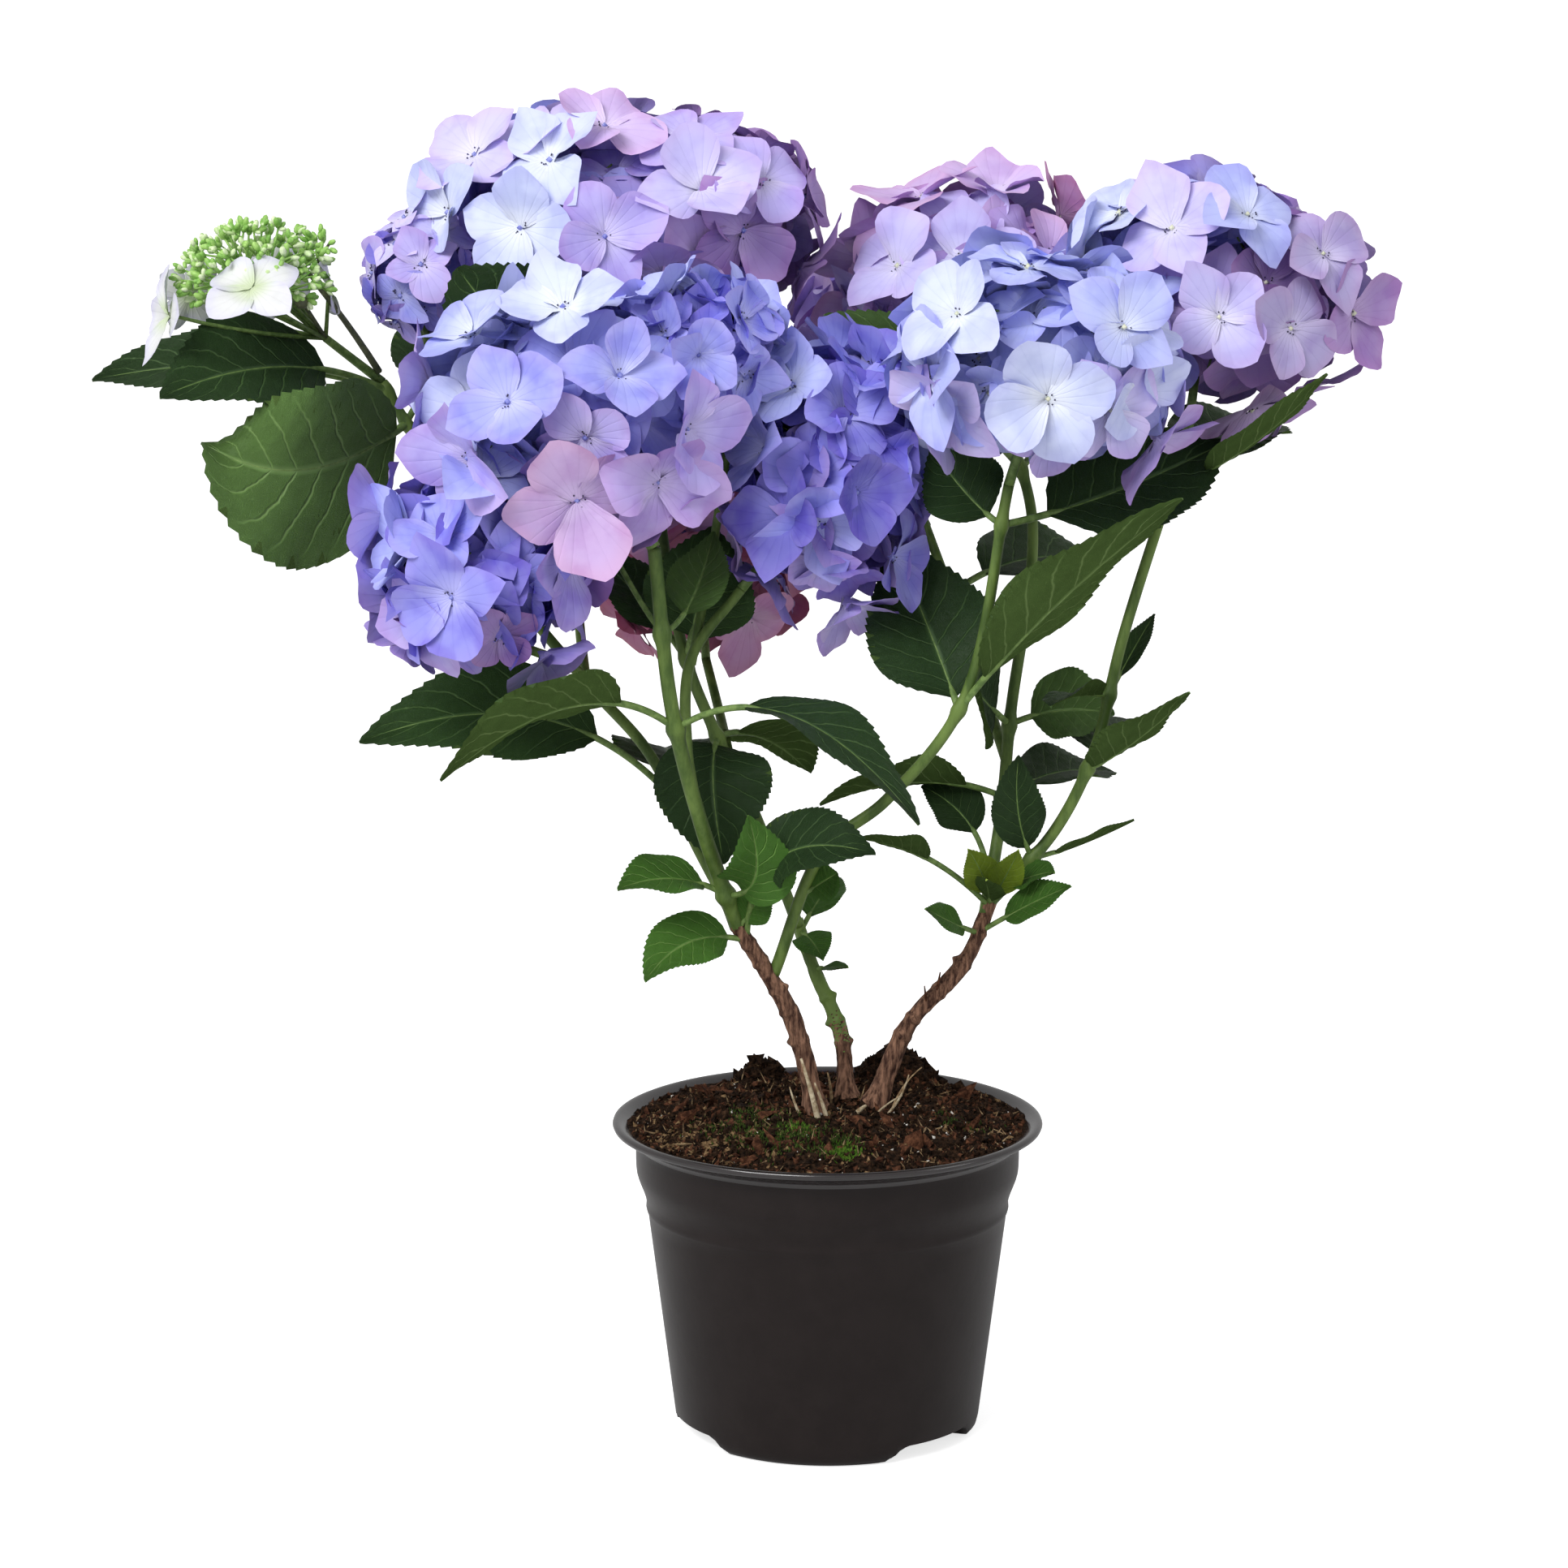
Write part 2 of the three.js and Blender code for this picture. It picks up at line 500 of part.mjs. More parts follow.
// A head: a core that the florets stand out of, set by the golden angle round the head's axis.
function head(name, seed) {
  const { on, at, radii, florets } = HEADS[name];
  const centre = vec(at);
  const mean = (radii[0] + radii[1] + radii[2]) / 3;
  const size = Math.min(FLORET_RADIUS, mean * 0.52);
  const cup = FLORET_CUP * (size / FLORET_RADIUS);
  const seat = Math.sqrt((mean - cup) ** 2 - size ** 2) / mean;
  const axis = centre.clone().sub(curves[on].getPointAt(1)).normalize();
  const tilt = new THREE.Quaternion().setFromUnitVectors(UP, axis);
  const planes = partings(name);
  const parts = [ball(at, radii.map((r) => r * (seat + 0.02)), 1), headStem(on, centre)];
  for (let n = 0; n < florets; n += 1) {
    const height = 1 - (1.72 * (n + 0.5)) / florets;
    const angle = n * GOLDEN_ANGLE + 0.5 * (chance(seed, n) - 0.5);
    const across = Math.sqrt(1 - height * height);
    const way = new THREE.Vector3(across * Math.cos(angle), across * Math.sin(angle), height)
      .applyQuaternion(tilt);
    const spot = vec(radii).multiply(way).multiplyScalar(seat).add(centre);
    const outward = new THREE.Vector3(way.x / radii[0], way.y / radii[1], way.z / radii[2]).normalize();
    const hidden = planes.some((plane) => spot.clone().sub(plane.point).dot(plane.way) > -size * 0.3);
    if (hidden) continue;
    const scale = 0.9 + 0.1 * chance(seed + 7, n);
    parts.push(floret(spot, outward, chance(seed + 3, n) * Math.PI, size * scale, cup, mean * 0.13));
  }
  return planes.reduce((solid, plane) => solid.subtract(beyond(plane)), joined(parts));
}

// A straight twig between two points.
function twig(start, end, radius) {
  const along = end.clone().sub(start).normalize();
  const right = new THREE.Vector3(0, 1, 0.2).cross(along).normalize();
  const over = along.clone().cross(right);
  return solidOf(loft([start, end].map((middle) => [0, 1, 2, 3].map((s) => {
    const angle = (Math.PI * s) / 2;
    return middle.clone()
      .addScaledVector(right, radius * Math.cos(angle))
      .addScaledVector(over, radius * Math.sin(angle));
  }))));
}

// The young head, on the end of the far left shoot.
function youngHead(seed) {
  const { on, at, radii, buds, budRadius, sepals, sideTwig, sideBuds } = YOUNG;
  const centre = vec(at);
  const tip = curves[on].getPointAt(1);
  const start = tip.clone().addScaledVector(curves[on].getTangentAt(1), GAP);
  const dome = ball(at, radii.map((r) => r * 0.76), 1);
  const parts = [dome, twig(start, centre, 2.2)];
  for (let n = 0; n < buds; n += 1) {
    const height = 1 - (1.1 * (n + 0.5)) / buds;
    const across = Math.sqrt(1 - height * height);
    const angle = n * GOLDEN_ANGLE;
    const way = new THREE.Vector3(across * Math.cos(angle), across * Math.sin(angle), height);
    const spot = centre.clone().addScaledVector(way, reachOf(radii, way) * 0.8);
    const bud = new THREE.TetrahedronGeometry(budRadius * (1.2 + 0.5 * chance(seed, n))).rotateZ(n);
    parts.push(solidOf(bud.translate(spot.x, spot.y, spot.z)));
  }
  sepals.forEach(([x, y, z, size], n) => {
    const way = vec([x, y, z]).normalize();
    const spot = centre.clone().addScaledVector(way, reachOf(radii, way) * 0.68);
    parts.push(floret(spot, way, n, size, 3, 6));
  });
  const [fork, end] = sideTwig.map(vec);
  parts.push(twig(tip.clone().lerp(centre, 0.12), fork, 1.5), twig(fork.clone(), end, 1.3));
  for (let n = 0; n < sideBuds; n += 1) {
    const bud = new THREE.TetrahedronGeometry(budRadius * 1.2).rotateZ(n);
    parts.push(solidOf(bud.translate(end.x - 3 * n, end.y + 2 * Math.sin(n * 2), end.z + 3 - n)));
  }
  return joined(parts);
}

// Pot and soil

const notchAngles = Array.from({ length: NOTCHES }, (_, n) => NOTCH_FIRST_ANGLE + (360 * n) / NOTCHES);

// The arched block that leaves a drainage notch under the pot, `grow` millimetres bigger all round.
function notchBlock(angle, grow) {
  const half = NOTCH_HALF_WIDTH + grow;
  const top = NOTCH_HEIGHT + grow;
  const arch = new THREE.Shape([
    new THREE.Vector2(-half, -2),
    new THREE.Vector2(half, -2),
    new THREE.Vector2(half, 0),
    new THREE.Vector2(half * 0.78, top * 0.8),
    new THREE.Vector2(half * 0.6, top),
    new THREE.Vector2(-half * 0.6, top),
    new THREE.Vector2(-half * 0.78, top * 0.8),
    new THREE.Vector2(-half, 0),
  ]);
  const inner = NOTCH_INNER_RADIUS - grow;
  const block = new THREE.ExtrudeGeometry(arch, { depth: RIM_RADIUS - inner, bevelEnabled: false });
  block.rotateX(Math.PI / 2).rotateZ(Math.PI).translate(0, inner, 0);
  return solidOf(block.rotateZ((angle - 90) * DEGREE));
}

function turned(profile) {
  return solidOf(new THREE.LatheGeometry(profile.map(([r, z]) => new THREE.Vector2(r, z)), POT_FACETS)
    .rotateX(Math.PI / 2));
}

const collarFoot = POT_HEIGHT - COLLAR_DROP;

// The pot's outside from its axis at the foot up to the rim, and its inside from the rim down.
const OUTSIDE = [
  [0, 0], [FOOT_RADIUS, 0], [BODY_LOW_RADIUS, FOOT_ROUNDING], [BODY_TOP_RADIUS, collarFoot - 4],
  [COLLAR_LOW_RADIUS, collarFoot], [COLLAR_LOW_RADIUS + 2, collarFoot + 12],
  [COLLAR_TOP_RADIUS, POT_HEIGHT - RIM_DEPTH], [RIM_RADIUS - 2, POT_HEIGHT - RIM_DEPTH],
  [RIM_RADIUS, POT_HEIGHT - RIM_DEPTH / 2], [RIM_RADIUS - 2.5, POT_HEIGHT], [0, POT_HEIGHT],
];

// The pot's inside up to its mouth, `shrink` millimetres smaller; `top` ends it over the mouth.
function insideProfile(shrink, top) {
  const wall = WALL + shrink;
  const mouth = COLLAR_TOP_RADIUS - wall;
  return [
    [0, FLOOR + shrink], [FOOT_RADIUS - wall, FLOOR + shrink], [BODY_LOW_RADIUS - wall, FOOT_ROUNDING + 2],
    [BODY_TOP_RADIUS - wall, collarFoot], [mouth, SOIL_AT_WALL], ...top(mouth), [0, top(mouth).at(-1)[1]],
  ];
}

function pot() {
  const notches = notchAngles.map((angle) => notchBlock(angle, 0));
  const roofs = notchAngles.map((angle) => notchBlock(angle, WALL));
  const shell = notches.reduce((solid, notch) => solid.subtract(notch), turned(OUTSIDE));
  const flaredMouth = (mouth) => [[mouth + 5, POT_HEIGHT - 1.5], [mouth + 5, POT_HEIGHT + 5]];
  const hollow = roofs.reduce((solid, roof) => solid.subtract(roof), turned(insideProfile(0, flaredMouth)));
  const drains = Array.from({ length: DRAINS }, (_, n) => {
    const angle = ((n + 0.5) * 2 * Math.PI) / DRAINS;
    const hole = new THREE.CylinderGeometry(DRAIN_RADIUS, DRAIN_RADIUS, FLOOR * 4, 6).rotateX(Math.PI / 2);
    return solidOf(hole.translate(DRAIN_RING_RADIUS * Math.cos(angle), DRAIN_RING_RADIUS * Math.sin(angle), 0));
  });
  return largest(drains.reduce((solid, drain) => solid.subtract(drain), shell.subtract(hollow)));
}

// The soil's height: level with the wall at its edge, mounded towards the stems and at the back.
function soilHeight(x, y) {
  const out = Math.hypot(x - SOIL_PAD_X, y);
  const fromWall = COLLAR_TOP_RADIUS - Math.hypot(x, y);
  const climb = THREE.MathUtils.smoothstep(fromWall, 0, COLLAR_TOP_RADIUS - SOIL_PAD_RADIUS - 8);
  const rough = THREE.MathUtils.smoothstep(out, SOIL_PAD_RADIUS, SOIL_PAD_RADIUS + 12)
    * THREE.MathUtils.smoothstep(fromWall, 1, 12);
  const lumps = SOIL_LUMP * (chance(Math.round(x), Math.round(y)) - 0.5);
  const mound = BACK_MOUND * Math.exp(-((x - 18) ** 2 + (y - 46) ** 2) / 420);
  return THREE.MathUtils.lerp(SOIL_AT_WALL, SOIL_PAD_HEIGHT, climb) + rough * (lumps + mound);
}

// The soil: a plug that fills the pot, topped by a lumpy disc of rings round the stems.
function soil() {
  const plugTop = (mouth) => [[mouth - 0.5, SOIL_AT_WALL]];
  const roofs = notchAngles.map((angle) => notchBlock(angle, WALL + GAP));
  const plug = roofs.reduce((solid, roof) => solid.subtract(roof), turned(insideProfile(GAP, plugTop)));
  const radii = [SOIL_PAD_RADIUS, 38, 54, 69, COLLAR_TOP_RADIUS - 4];
  const around = 20;
  const points = [new THREE.Vector3(SOIL_PAD_X, 0, SOIL_PAD_HEIGHT)];
  radii.forEach((radius, ring) => {
    const shift = SOIL_PAD_X * (1 - ring / (radii.length - 1));
    for (let n = 0; n < around; n += 1) {
      const angle = (2 * Math.PI * n) / around;
      const x = shift + radius * Math.cos(angle);
      const y = radius * Math.sin(angle);
      const level = ring < 1 ? SOIL_PAD_HEIGHT : soilHeight(x, y);
      points.push(new THREE.Vector3(x, y, level));
    }
  });
  const rim = points.slice(-around).map((p) => new THREE.Vector3(p.x, p.y, SOIL_AT_WALL - 3));
  points.push(...rim, new THREE.Vector3(0, 0, SOIL_AT_WALL - 3));
  const faces = [];
  const at = (ring, n) => 1 + ring * around + (n % around);
  for (let n = 0; n < around; n += 1) {
    faces.push(0, at(0, n), at(0, n + 1));
    for (let ring = 0; ring < radii.length; ring += 1) {
      faces.push(at(ring, n), at(ring + 1, n), at(ring + 1, n + 1));
      faces.push(at(ring, n), at(ring + 1, n + 1), at(ring, n + 1));
    }
    faces.push(points.length - 1, at(radii.length, n + 1), at(radii.length, n));
  }
  const top = new THREE.BufferGeometry().setFromPoints(points);
  top.setIndex(faces);
  return largest(plug.add(solidOf(top)));
}

// Assembly

const plant = new THREE.Group();
plant.name = "potted_hydrangea";
const placed = [];

// Adds a solid to the plant as a named mesh. `space` is the room that later pieces leave it.
function place(name, solid, material, space) {
  const whole = welded(largest(solid));
  placed.push({ space, box: boxOf(space) });
  const geometry = geometryOf(whole);
  geometry.computeVertexNormals();
  const mesh = new THREE.Mesh(geometry, material);
  mesh.name = name;
  plant.add(mesh);
}

// Cuts a solid clear of the space of other pieces: all that are placed so far, or those given.
function cutClear(solid, others = placed) {
  return others.reduce((rest, { space, box }) => {
    const near = boxOf(rest).intersectsBox(box) && !rest.intersect(space).isEmpty();
    return near ? rest.subtract(space) : rest;
  }, solid);
}

place("pot", pot(), plastic, turned(OUTSIDE));
place("soil", soil(), soilStuff, turned([[0, 10], [80, 10], [80, SOIL_AT_WALL], [0, SOIL_AT_WALL]]));
for (const name of Object.keys(WOODY)) place(name, woodyStem(name), bark, limbSpace(name));
for (const name of Object.keys(SHOOTS)) place(name, cutClear(limbTube(name)), greenStem, limbSpace(name));
const limbs = [...placed];
Object.entries(HEADS).forEach(([name, { at, radii, finish }], n) => {
  place(name, cutClear(head(name, n + 1), limbs), finish, ball(at, radii.map((r) => r * 1.05), 2));
});
const youngSpace = ball(YOUNG.at, YOUNG.radii.map((r) => r * 1.05), 2);
place("bloom_young", cutClear(youngHead(31), limbs), budGreen, youngSpace);
for (const [name, pair] of Object.entries(LEAF_PAIRS)) {
  place(name, cutClear(leafPair(pair)), leafGreen, leafPair(pair, GAP));
}

export default plant;
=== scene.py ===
# %% [markdown]
# # A potted hydrangea
# This is a mophead hydrangea in its black nursery pot. The solids of the plant are already fixed:
# pot, soil, woody stems, green shoots, leaf pairs and heads. Here each one is grown again, finer, in
# about the same place and by the same rules, so that a reader can see how a plant is built up from
# its limbs to its petals. The plant's sizes are in millimetres until a piece is made, which makes
# metres of them. The camera, the floor and the lamps are placed in metres.

# %% The fixed frame
import itertools
import math

import bpy
import numpy as np
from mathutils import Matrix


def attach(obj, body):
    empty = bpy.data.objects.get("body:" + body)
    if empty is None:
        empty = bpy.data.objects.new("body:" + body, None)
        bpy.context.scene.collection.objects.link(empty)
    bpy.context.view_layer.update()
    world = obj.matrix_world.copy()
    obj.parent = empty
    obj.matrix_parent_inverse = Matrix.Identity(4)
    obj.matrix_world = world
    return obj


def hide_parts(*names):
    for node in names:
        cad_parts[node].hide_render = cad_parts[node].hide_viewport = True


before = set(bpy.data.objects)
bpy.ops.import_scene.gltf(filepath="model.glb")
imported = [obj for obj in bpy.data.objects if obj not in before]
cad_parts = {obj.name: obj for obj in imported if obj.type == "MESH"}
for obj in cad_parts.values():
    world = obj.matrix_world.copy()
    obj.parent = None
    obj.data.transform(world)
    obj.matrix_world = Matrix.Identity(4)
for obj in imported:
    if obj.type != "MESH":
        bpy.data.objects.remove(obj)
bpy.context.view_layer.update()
MM = 0.001

# %% [markdown]
# ## Chance that can be repeated
# Real growth is irregular, yet the plant has to come out the same on every run. A random number
# generator would do, but the solids were grown with a small formula in another language, and the
# same formula here keeps to their rule. Scattered crumbs have nothing to match, so they take numpy's
# generator with a fixed seed.

# %% The rule of chance


def chance(seed, count):
    """The fraction left by sin(12.9898 seed + 78.233 count) * 43758.5453: from 0 to 1."""
    value = np.sin(seed * 12.9898 + count * 78.233) * 43758.5453
    return value - np.floor(value)


def smooth(value, low, high):
    """0 below low, 1 above high, and 3t^2 - 2t^3 of the share t between them."""
    share = np.clip((value - low) / (high - low), 0, 1)
    return share * share * (3 - 2 * share)


def cloudy(points, size, seed):
    """Smooth noise from -1 to 1: a chance number at each corner of a lattice of cells `size` wide,
    blended inside the cell by the smooth step of each coordinate."""
    place = np.asarray(points) / size
    cell = np.floor(place)
    blend = smooth(place - cell, 0, 1)
    total = 0
    for corner in itertools.product((0, 1), repeat=3):
        share = np.prod(np.where(corner, blend, 1 - blend), axis=-1)
        mark = (cell + corner) @ np.array([1.0, 7.31, 17.17])
        total = total + share * chance(seed, mark)
    return 2 * total - 1


print("three numbers by chance:", chance(1, np.arange(3)).round(3))

# %% [markdown]
# ## One way to make every mesh
# A leaf, a petal, a stem and a pot are all surfaces over two parameters, rows along and columns
# across. They could each be a mesh edited by hand, but a grid worked out by numpy is exact, quick
# and easy to change. The class below gathers any number of such grids in one piece, closes the ones
# that go round, keeps a UV map for patterns that follow the surface, and gives each face its finish.

# %% Gathering grids into a piece


def unit(vectors):
    """The vectors divided by their lengths."""
    vectors = np.asarray(vectors, dtype=float)
    return vectors / np.maximum(np.linalg.norm(vectors, axis=-1, keepdims=True), 1e-9)


class Gathering:
    """The points, faces, map and finishes of one piece, kept as arrays until it is made."""

    def __init__(self, name):
        self.name = name
        self.finishes = []
        self.points = []
        self.corners = []
        self.sizes = []
        self.maps = []
        self.slots = []
        self.count = 0

    def finish(self, name):
        """The slot of a finish in this piece, added when it is first asked for."""
        if name not in self.finishes:
            self.finishes.append(name)
        return self.finishes.index(name)

    def faces(self, corners, size, maps, slots):
        """Adds faces of `size` corners each, with a map place for every corner."""
        self.corners.append(corners.reshape(-1))
        self.sizes.append(np.full(corners.size // size, size))
        self.maps.append(maps.reshape(-1, 2))
        self.slots.append(np.broadcast_to(slots, corners.shape[:-1]).reshape(-1))

    def grids(self, points, slots, around=False, maps=None):
        """Adds grids of points (grid, row, column, xyz). `around` joins the last column to the
        first and closes both ends with a face. `maps` holds a map place for each row and column."""
        many, rows, columns = points.shape[:3]
        numbers = self.count + np.arange(many * rows * columns).reshape(many, rows, columns)
        across = columns if around else columns - 1
        place = np.empty((many, rows, across + 1, 2))
        place[..., 0] = np.linspace(0, 1, across + 1)
        place[..., 1] = np.linspace(0, 1, rows)[:, None]
        if maps is not None:
            place[:] = maps
        wide = np.concatenate([numbers, numbers[:, :, :1]], axis=2) if around else numbers
        turn = [(slice(None, -1), slice(None, -1)), (slice(1, None), slice(None, -1)),
                (slice(1, None), slice(1, None)), (slice(None, -1), slice(1, None))]
        quads = np.stack([wide[:, row, column] for row, column in turn], axis=-1)
        places = np.stack([place[:, row, column] for row, column in turn], axis=-2)
        slots = np.asarray(slots)
        slots = slots.reshape(slots.shape + (1,) * (3 - slots.ndim))
        self.faces(quads, 4, places, slots)
        if around:
            for ring, row in ((numbers[:, 0], 0), (numbers[:, -1, ::-1], -1)):
                ends = np.zeros((many, columns, 2)) + (0.5, -row)
                self.faces(ring, columns, ends, np.broadcast_to(slots, quads.shape[:-1])[:, row, 0])
        self.points.append(points.reshape(-1, 3))
        self.count += points.size // 3

    def make(self, slot, *nodes, sharp=None):
        """Makes the mesh in metres, gives it its finishes and its place in the frame."""
        mesh = bpy.data.meshes.new(self.name)
        points = np.concatenate(self.points) * MM
        corners = np.concatenate(self.corners).astype(np.int32)
        sizes = np.concatenate(self.sizes)
        mesh.vertices.add(len(points))
        mesh.vertices.foreach_set("co", points.ravel())
        mesh.loops.add(len(corners))
        mesh.loops.foreach_set("vertex_index", corners)
        mesh.polygons.add(len(sizes))
        mesh.polygons.foreach_set("loop_start", (np.cumsum(sizes) - sizes).astype(np.int32))
        mesh.polygons.foreach_set("material_index", np.concatenate(self.slots).astype(np.int32))
        mesh.uv_layers.new(name="surface").data.foreach_set("uv", np.concatenate(self.maps).ravel())
        for finish in self.finishes:
            mesh.materials.append(bpy.data.materials[finish])
        mesh.update(calc_edges=True)
        mesh.shade_smooth()
        if sharp is not None:
            mesh.set_sharp_from_angle(angle=math.radians(sharp))
        piece = bpy.data.objects.new(self.name, mesh)
        bpy.context.scene.collection.objects.link(piece)
        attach(piece, "root")
        if nodes:
            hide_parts(*nodes)
        print(self.name, "has", int((sizes - 2).sum()), "triangles")
        return piece


# %% [markdown]
# ## Camera, floor and light
# The photograph looks slightly down on the plant from a few steps away, so the lens is long and the
# camera stands a little higher than the plant. One large soft lamp from the upper left gives the
# petals their shape, a weak one from the right lifts the dark side, and a bright even sky keeps the
# shadows open, as in a white studio. The floor is a plain pale sheet. It glows for the camera only,
# so that it melts into the white behind it and yet doesn't light the pot from below.

# %% The camera at the photograph's angle
CAMERA_PLACE = (-0.0195, -2.4, 0.77)
CAMERA_PITCH = 11.2
SENSOR = 36.0
FOCAL_PIXELS = 6800
PHOTO_SIDE = 1932

camera_data = bpy.data.cameras.new("camera")
camera_data.sensor_width = SENSOR
camera_data.lens = SENSOR * FOCAL_PIXELS / PHOTO_SIDE
camera = bpy.data.objects.new("camera", camera_data)
camera.location = CAMERA_PLACE
camera.rotation_euler = (math.radians(90 - CAMERA_PITCH), 0, 0)
bpy.context.scene.collection.objects.link(camera)
bpy.context.scene.camera = camera
print("lens:", round(camera_data.lens, 1), "mm")

# %% Floor, sky and lamps: each lamp by its place, target, size in metres and watts
FLOOR_HALF = 40.0
FLOOR_CORNERS = ((-1, -1), (1, -1), (1, 1), (-1, 1))
FLOOR_TONE = 0.72
FLOOR_ROUGHNESS = 0.9
FLOOR_GLOW = 0.72
WHITE = (1, 1, 1, 1)
SKY_STRENGTH = 0.58
LAMPS = {
    "key_lamp": ((-1.35, -1.9, 2.2), (0, 0, 0.4), (2.0, 1.0), 64),
    "side_lamp": ((2.2, -0.8, 1.2), (0, 0, 0.35), (1.0, 1.0), 6),
}


def colour(red, green, blue):
    """A colour picked on a 0 to 255 screen scale as the linear colour that a shader wants."""
    share = np.array([red, green, blue]) / 255
    linear = np.where(share <= 0.04045, share / 12.92, ((share + 0.055) / 1.055) ** 2.4)
    return (*linear.tolist(), 1.0)


floor_mesh = bpy.data.meshes.new("floor")
floor_mesh.from_pydata([(x * FLOOR_HALF, y * FLOOR_HALF, 0) for x, y in FLOOR_CORNERS], [], [(0, 1, 2, 3)])
floor = bpy.data.objects.new("floor", floor_mesh)
bpy.context.scene.collection.objects.link(floor)
floor_look = bpy.data.materials.new("pale_floor")
floor_look.use_nodes = True
floor_surface = floor_look.node_tree.nodes["Principled BSDF"]
floor_surface.inputs["Base Color"].default_value = (FLOOR_TONE, FLOOR_TONE, FLOOR_TONE, 1)
floor_surface.inputs["Roughness"].default_value = FLOOR_ROUGHNESS
floor_surface.inputs["Emission Color"].default_value = WHITE
seen_only = floor_look.node_tree.nodes.new("ShaderNodeLightPath")
bright = floor_look.node_tree.nodes.new("ShaderNodeMath")
bright.operation = "MULTIPLY"
bright.inputs[1].default_value = FLOOR_GLOW
floor_look.node_tree.links.new(seen_only.outputs["Is Camera Ray"], bright.inputs[0])
floor_look.node_tree.links.new(bright.outputs[0], floor_surface.inputs["Emission Strength"])
floor_mesh.materials.append(floor_look)

world = bpy.data.worlds.new("studio_sky")
world.use_nodes = True
world.node_tree.nodes["Background"].inputs["Color"].default_value = WHITE
world.node_tree.nodes["Background"].inputs["Strength"].default_value = SKY_STRENGTH
bpy.context.scene.world = world
bpy.context.scene.view_settings.view_transform = "Standard"


def lamp(name, place, target, wide, high, watts):
    """A soft lamp, wide by high in metres, at a place and turned to a target."""
    data = bpy.data.lights.new(name, "AREA")
    data.shape = "RECTANGLE"
    data.size = wide
    data.size_y = high
    data.energy = watts
    thing = bpy.data.objects.new(name, data)
    thing.location = place
    way = np.array(target) - np.array(place)
    flat = math.hypot(way[0], way[1])
    thing.rotation_euler = (math.atan2(flat, -way[2]), 0, math.atan2(way[1], way[0]) - math.pi / 2)
    bpy.context.scene.collection.objects.link(thing)


for name, (place, target, size, watts) in LAMPS.items():
    lamp(name, place, target, *size, watts)
print(len(LAMPS), "lamps and an even sky")

# %% [markdown]
# ## The plant's plan
# These are the named routes, heads and leaves of the solids: where each limb starts, bends and ends,
# how big each head is, and where each leaf's tip hangs. The limbs are the same. Some heads and leaves
# stand a little off their solids, where the photograph's outline asks for it. Only the plan is
# repeated here, and all that is grown on it is finer.

# %% Limbs: root radius, tip radius and route
WOODY_STEMS = {
    "woody_stem_left": (5.6, 3.9, [(-5, -13, 148.4), (-15, -16, 190), (-27, -20, 214), (-41, -25, 237)]),
    "woody_stem_middle": (4.6, 3.2, [(9, 12, 148.4), (6, 16, 178), (-5, 22, 203), (-14, 28, 227)]),
    "woody_stem_right": (5.4, 3.6, [(21, -3, 148.4), (36, -4, 186), (60, -2, 213), (74, 4, 243)]),
}
SHOOTS = {
    "shoot_front": (3.9, 3.3, [(-40, -24, 235), (-56, -48, 288), (-68, -64, 342), (-75, -68, 411)]),
    "shoot_far_left": (3.0, 2.4, [(-35, -22, 227), (-56, -3, 263), (-80, 12, 307), (-106, 26, 334),
                                  (-152, 40, 389), (-198, 40, 469)]),
    "shoot_crown": (3.0, 2.6, [(-13, 27, 224), (-33, 20, 278), (-52, 8, 321), (-65, 6, 358),
                               (-84, 36, 482)]),
    "shoot_middle": (2.9, 2.5, [(-57, -48, 290), (-62, -30, 318), (-60, -20, 355), (-38, -22, 386)]),
    "shoot_right": (3.0, 2.6, [(72, 3, 240), (101, 4, 273), (118, 0, 310), (130, 2, 360), (158, 12, 449)]),
    "shoot_rose": (3.2, 2.6, [(70, 2, 235), (78, 26, 277), (82, 36, 318), (92, 56, 405), (78, 70, 452)]),
    "shoot_pale": (3.0, 2.6, [(-24, -19, 213), (-2, -34, 272), (25, -38, 295), (58, -46, 340),
                              (77, -52, 436)]),
    "shoot_front_low": (2.5, 2.3, [(-100, 23, 328), (-112, 2, 346), (-134, -30, 362)]),
    "shoot_middle_high": (2.3, 2.1, [(-60, -20, 352), (-51, -14, 400), (-42, -34, 463)]),
    "shoot_crown_side": (2.2, 2.0, [(-170, 41, 415), (-176, 42, 450), (-178, 42, 479)]),
    "shoot_back_left": (2.7, 2.4, [(-108, 28, 335), (-112, 70, 352), (-118, 122, 399)]),
    "shoot_back_middle": (2.6, 2.3, [(-44, 13, 305), (-48, 46, 316), (-55, 74, 338)]),
    "shoot_back_right": (2.7, 2.4, [(80, 32, 300), (64, 78, 346), (38, 126, 413)]),
}
print(len(WOODY_STEMS), "woody stems and", len(SHOOTS), "green shoots")

# %% Leaves: each by its tip, width, bend, the way its upper side looks, stalk share and tint


def blade(tip, width, bend, face=(0, -0.25, 1), stalk=0.22, tint="deep"):
    """The plan of one leaf."""
    return {"tip": tip, "width": width, "bend": bend, "face": face, "stalk": stalk, "tint": tint}


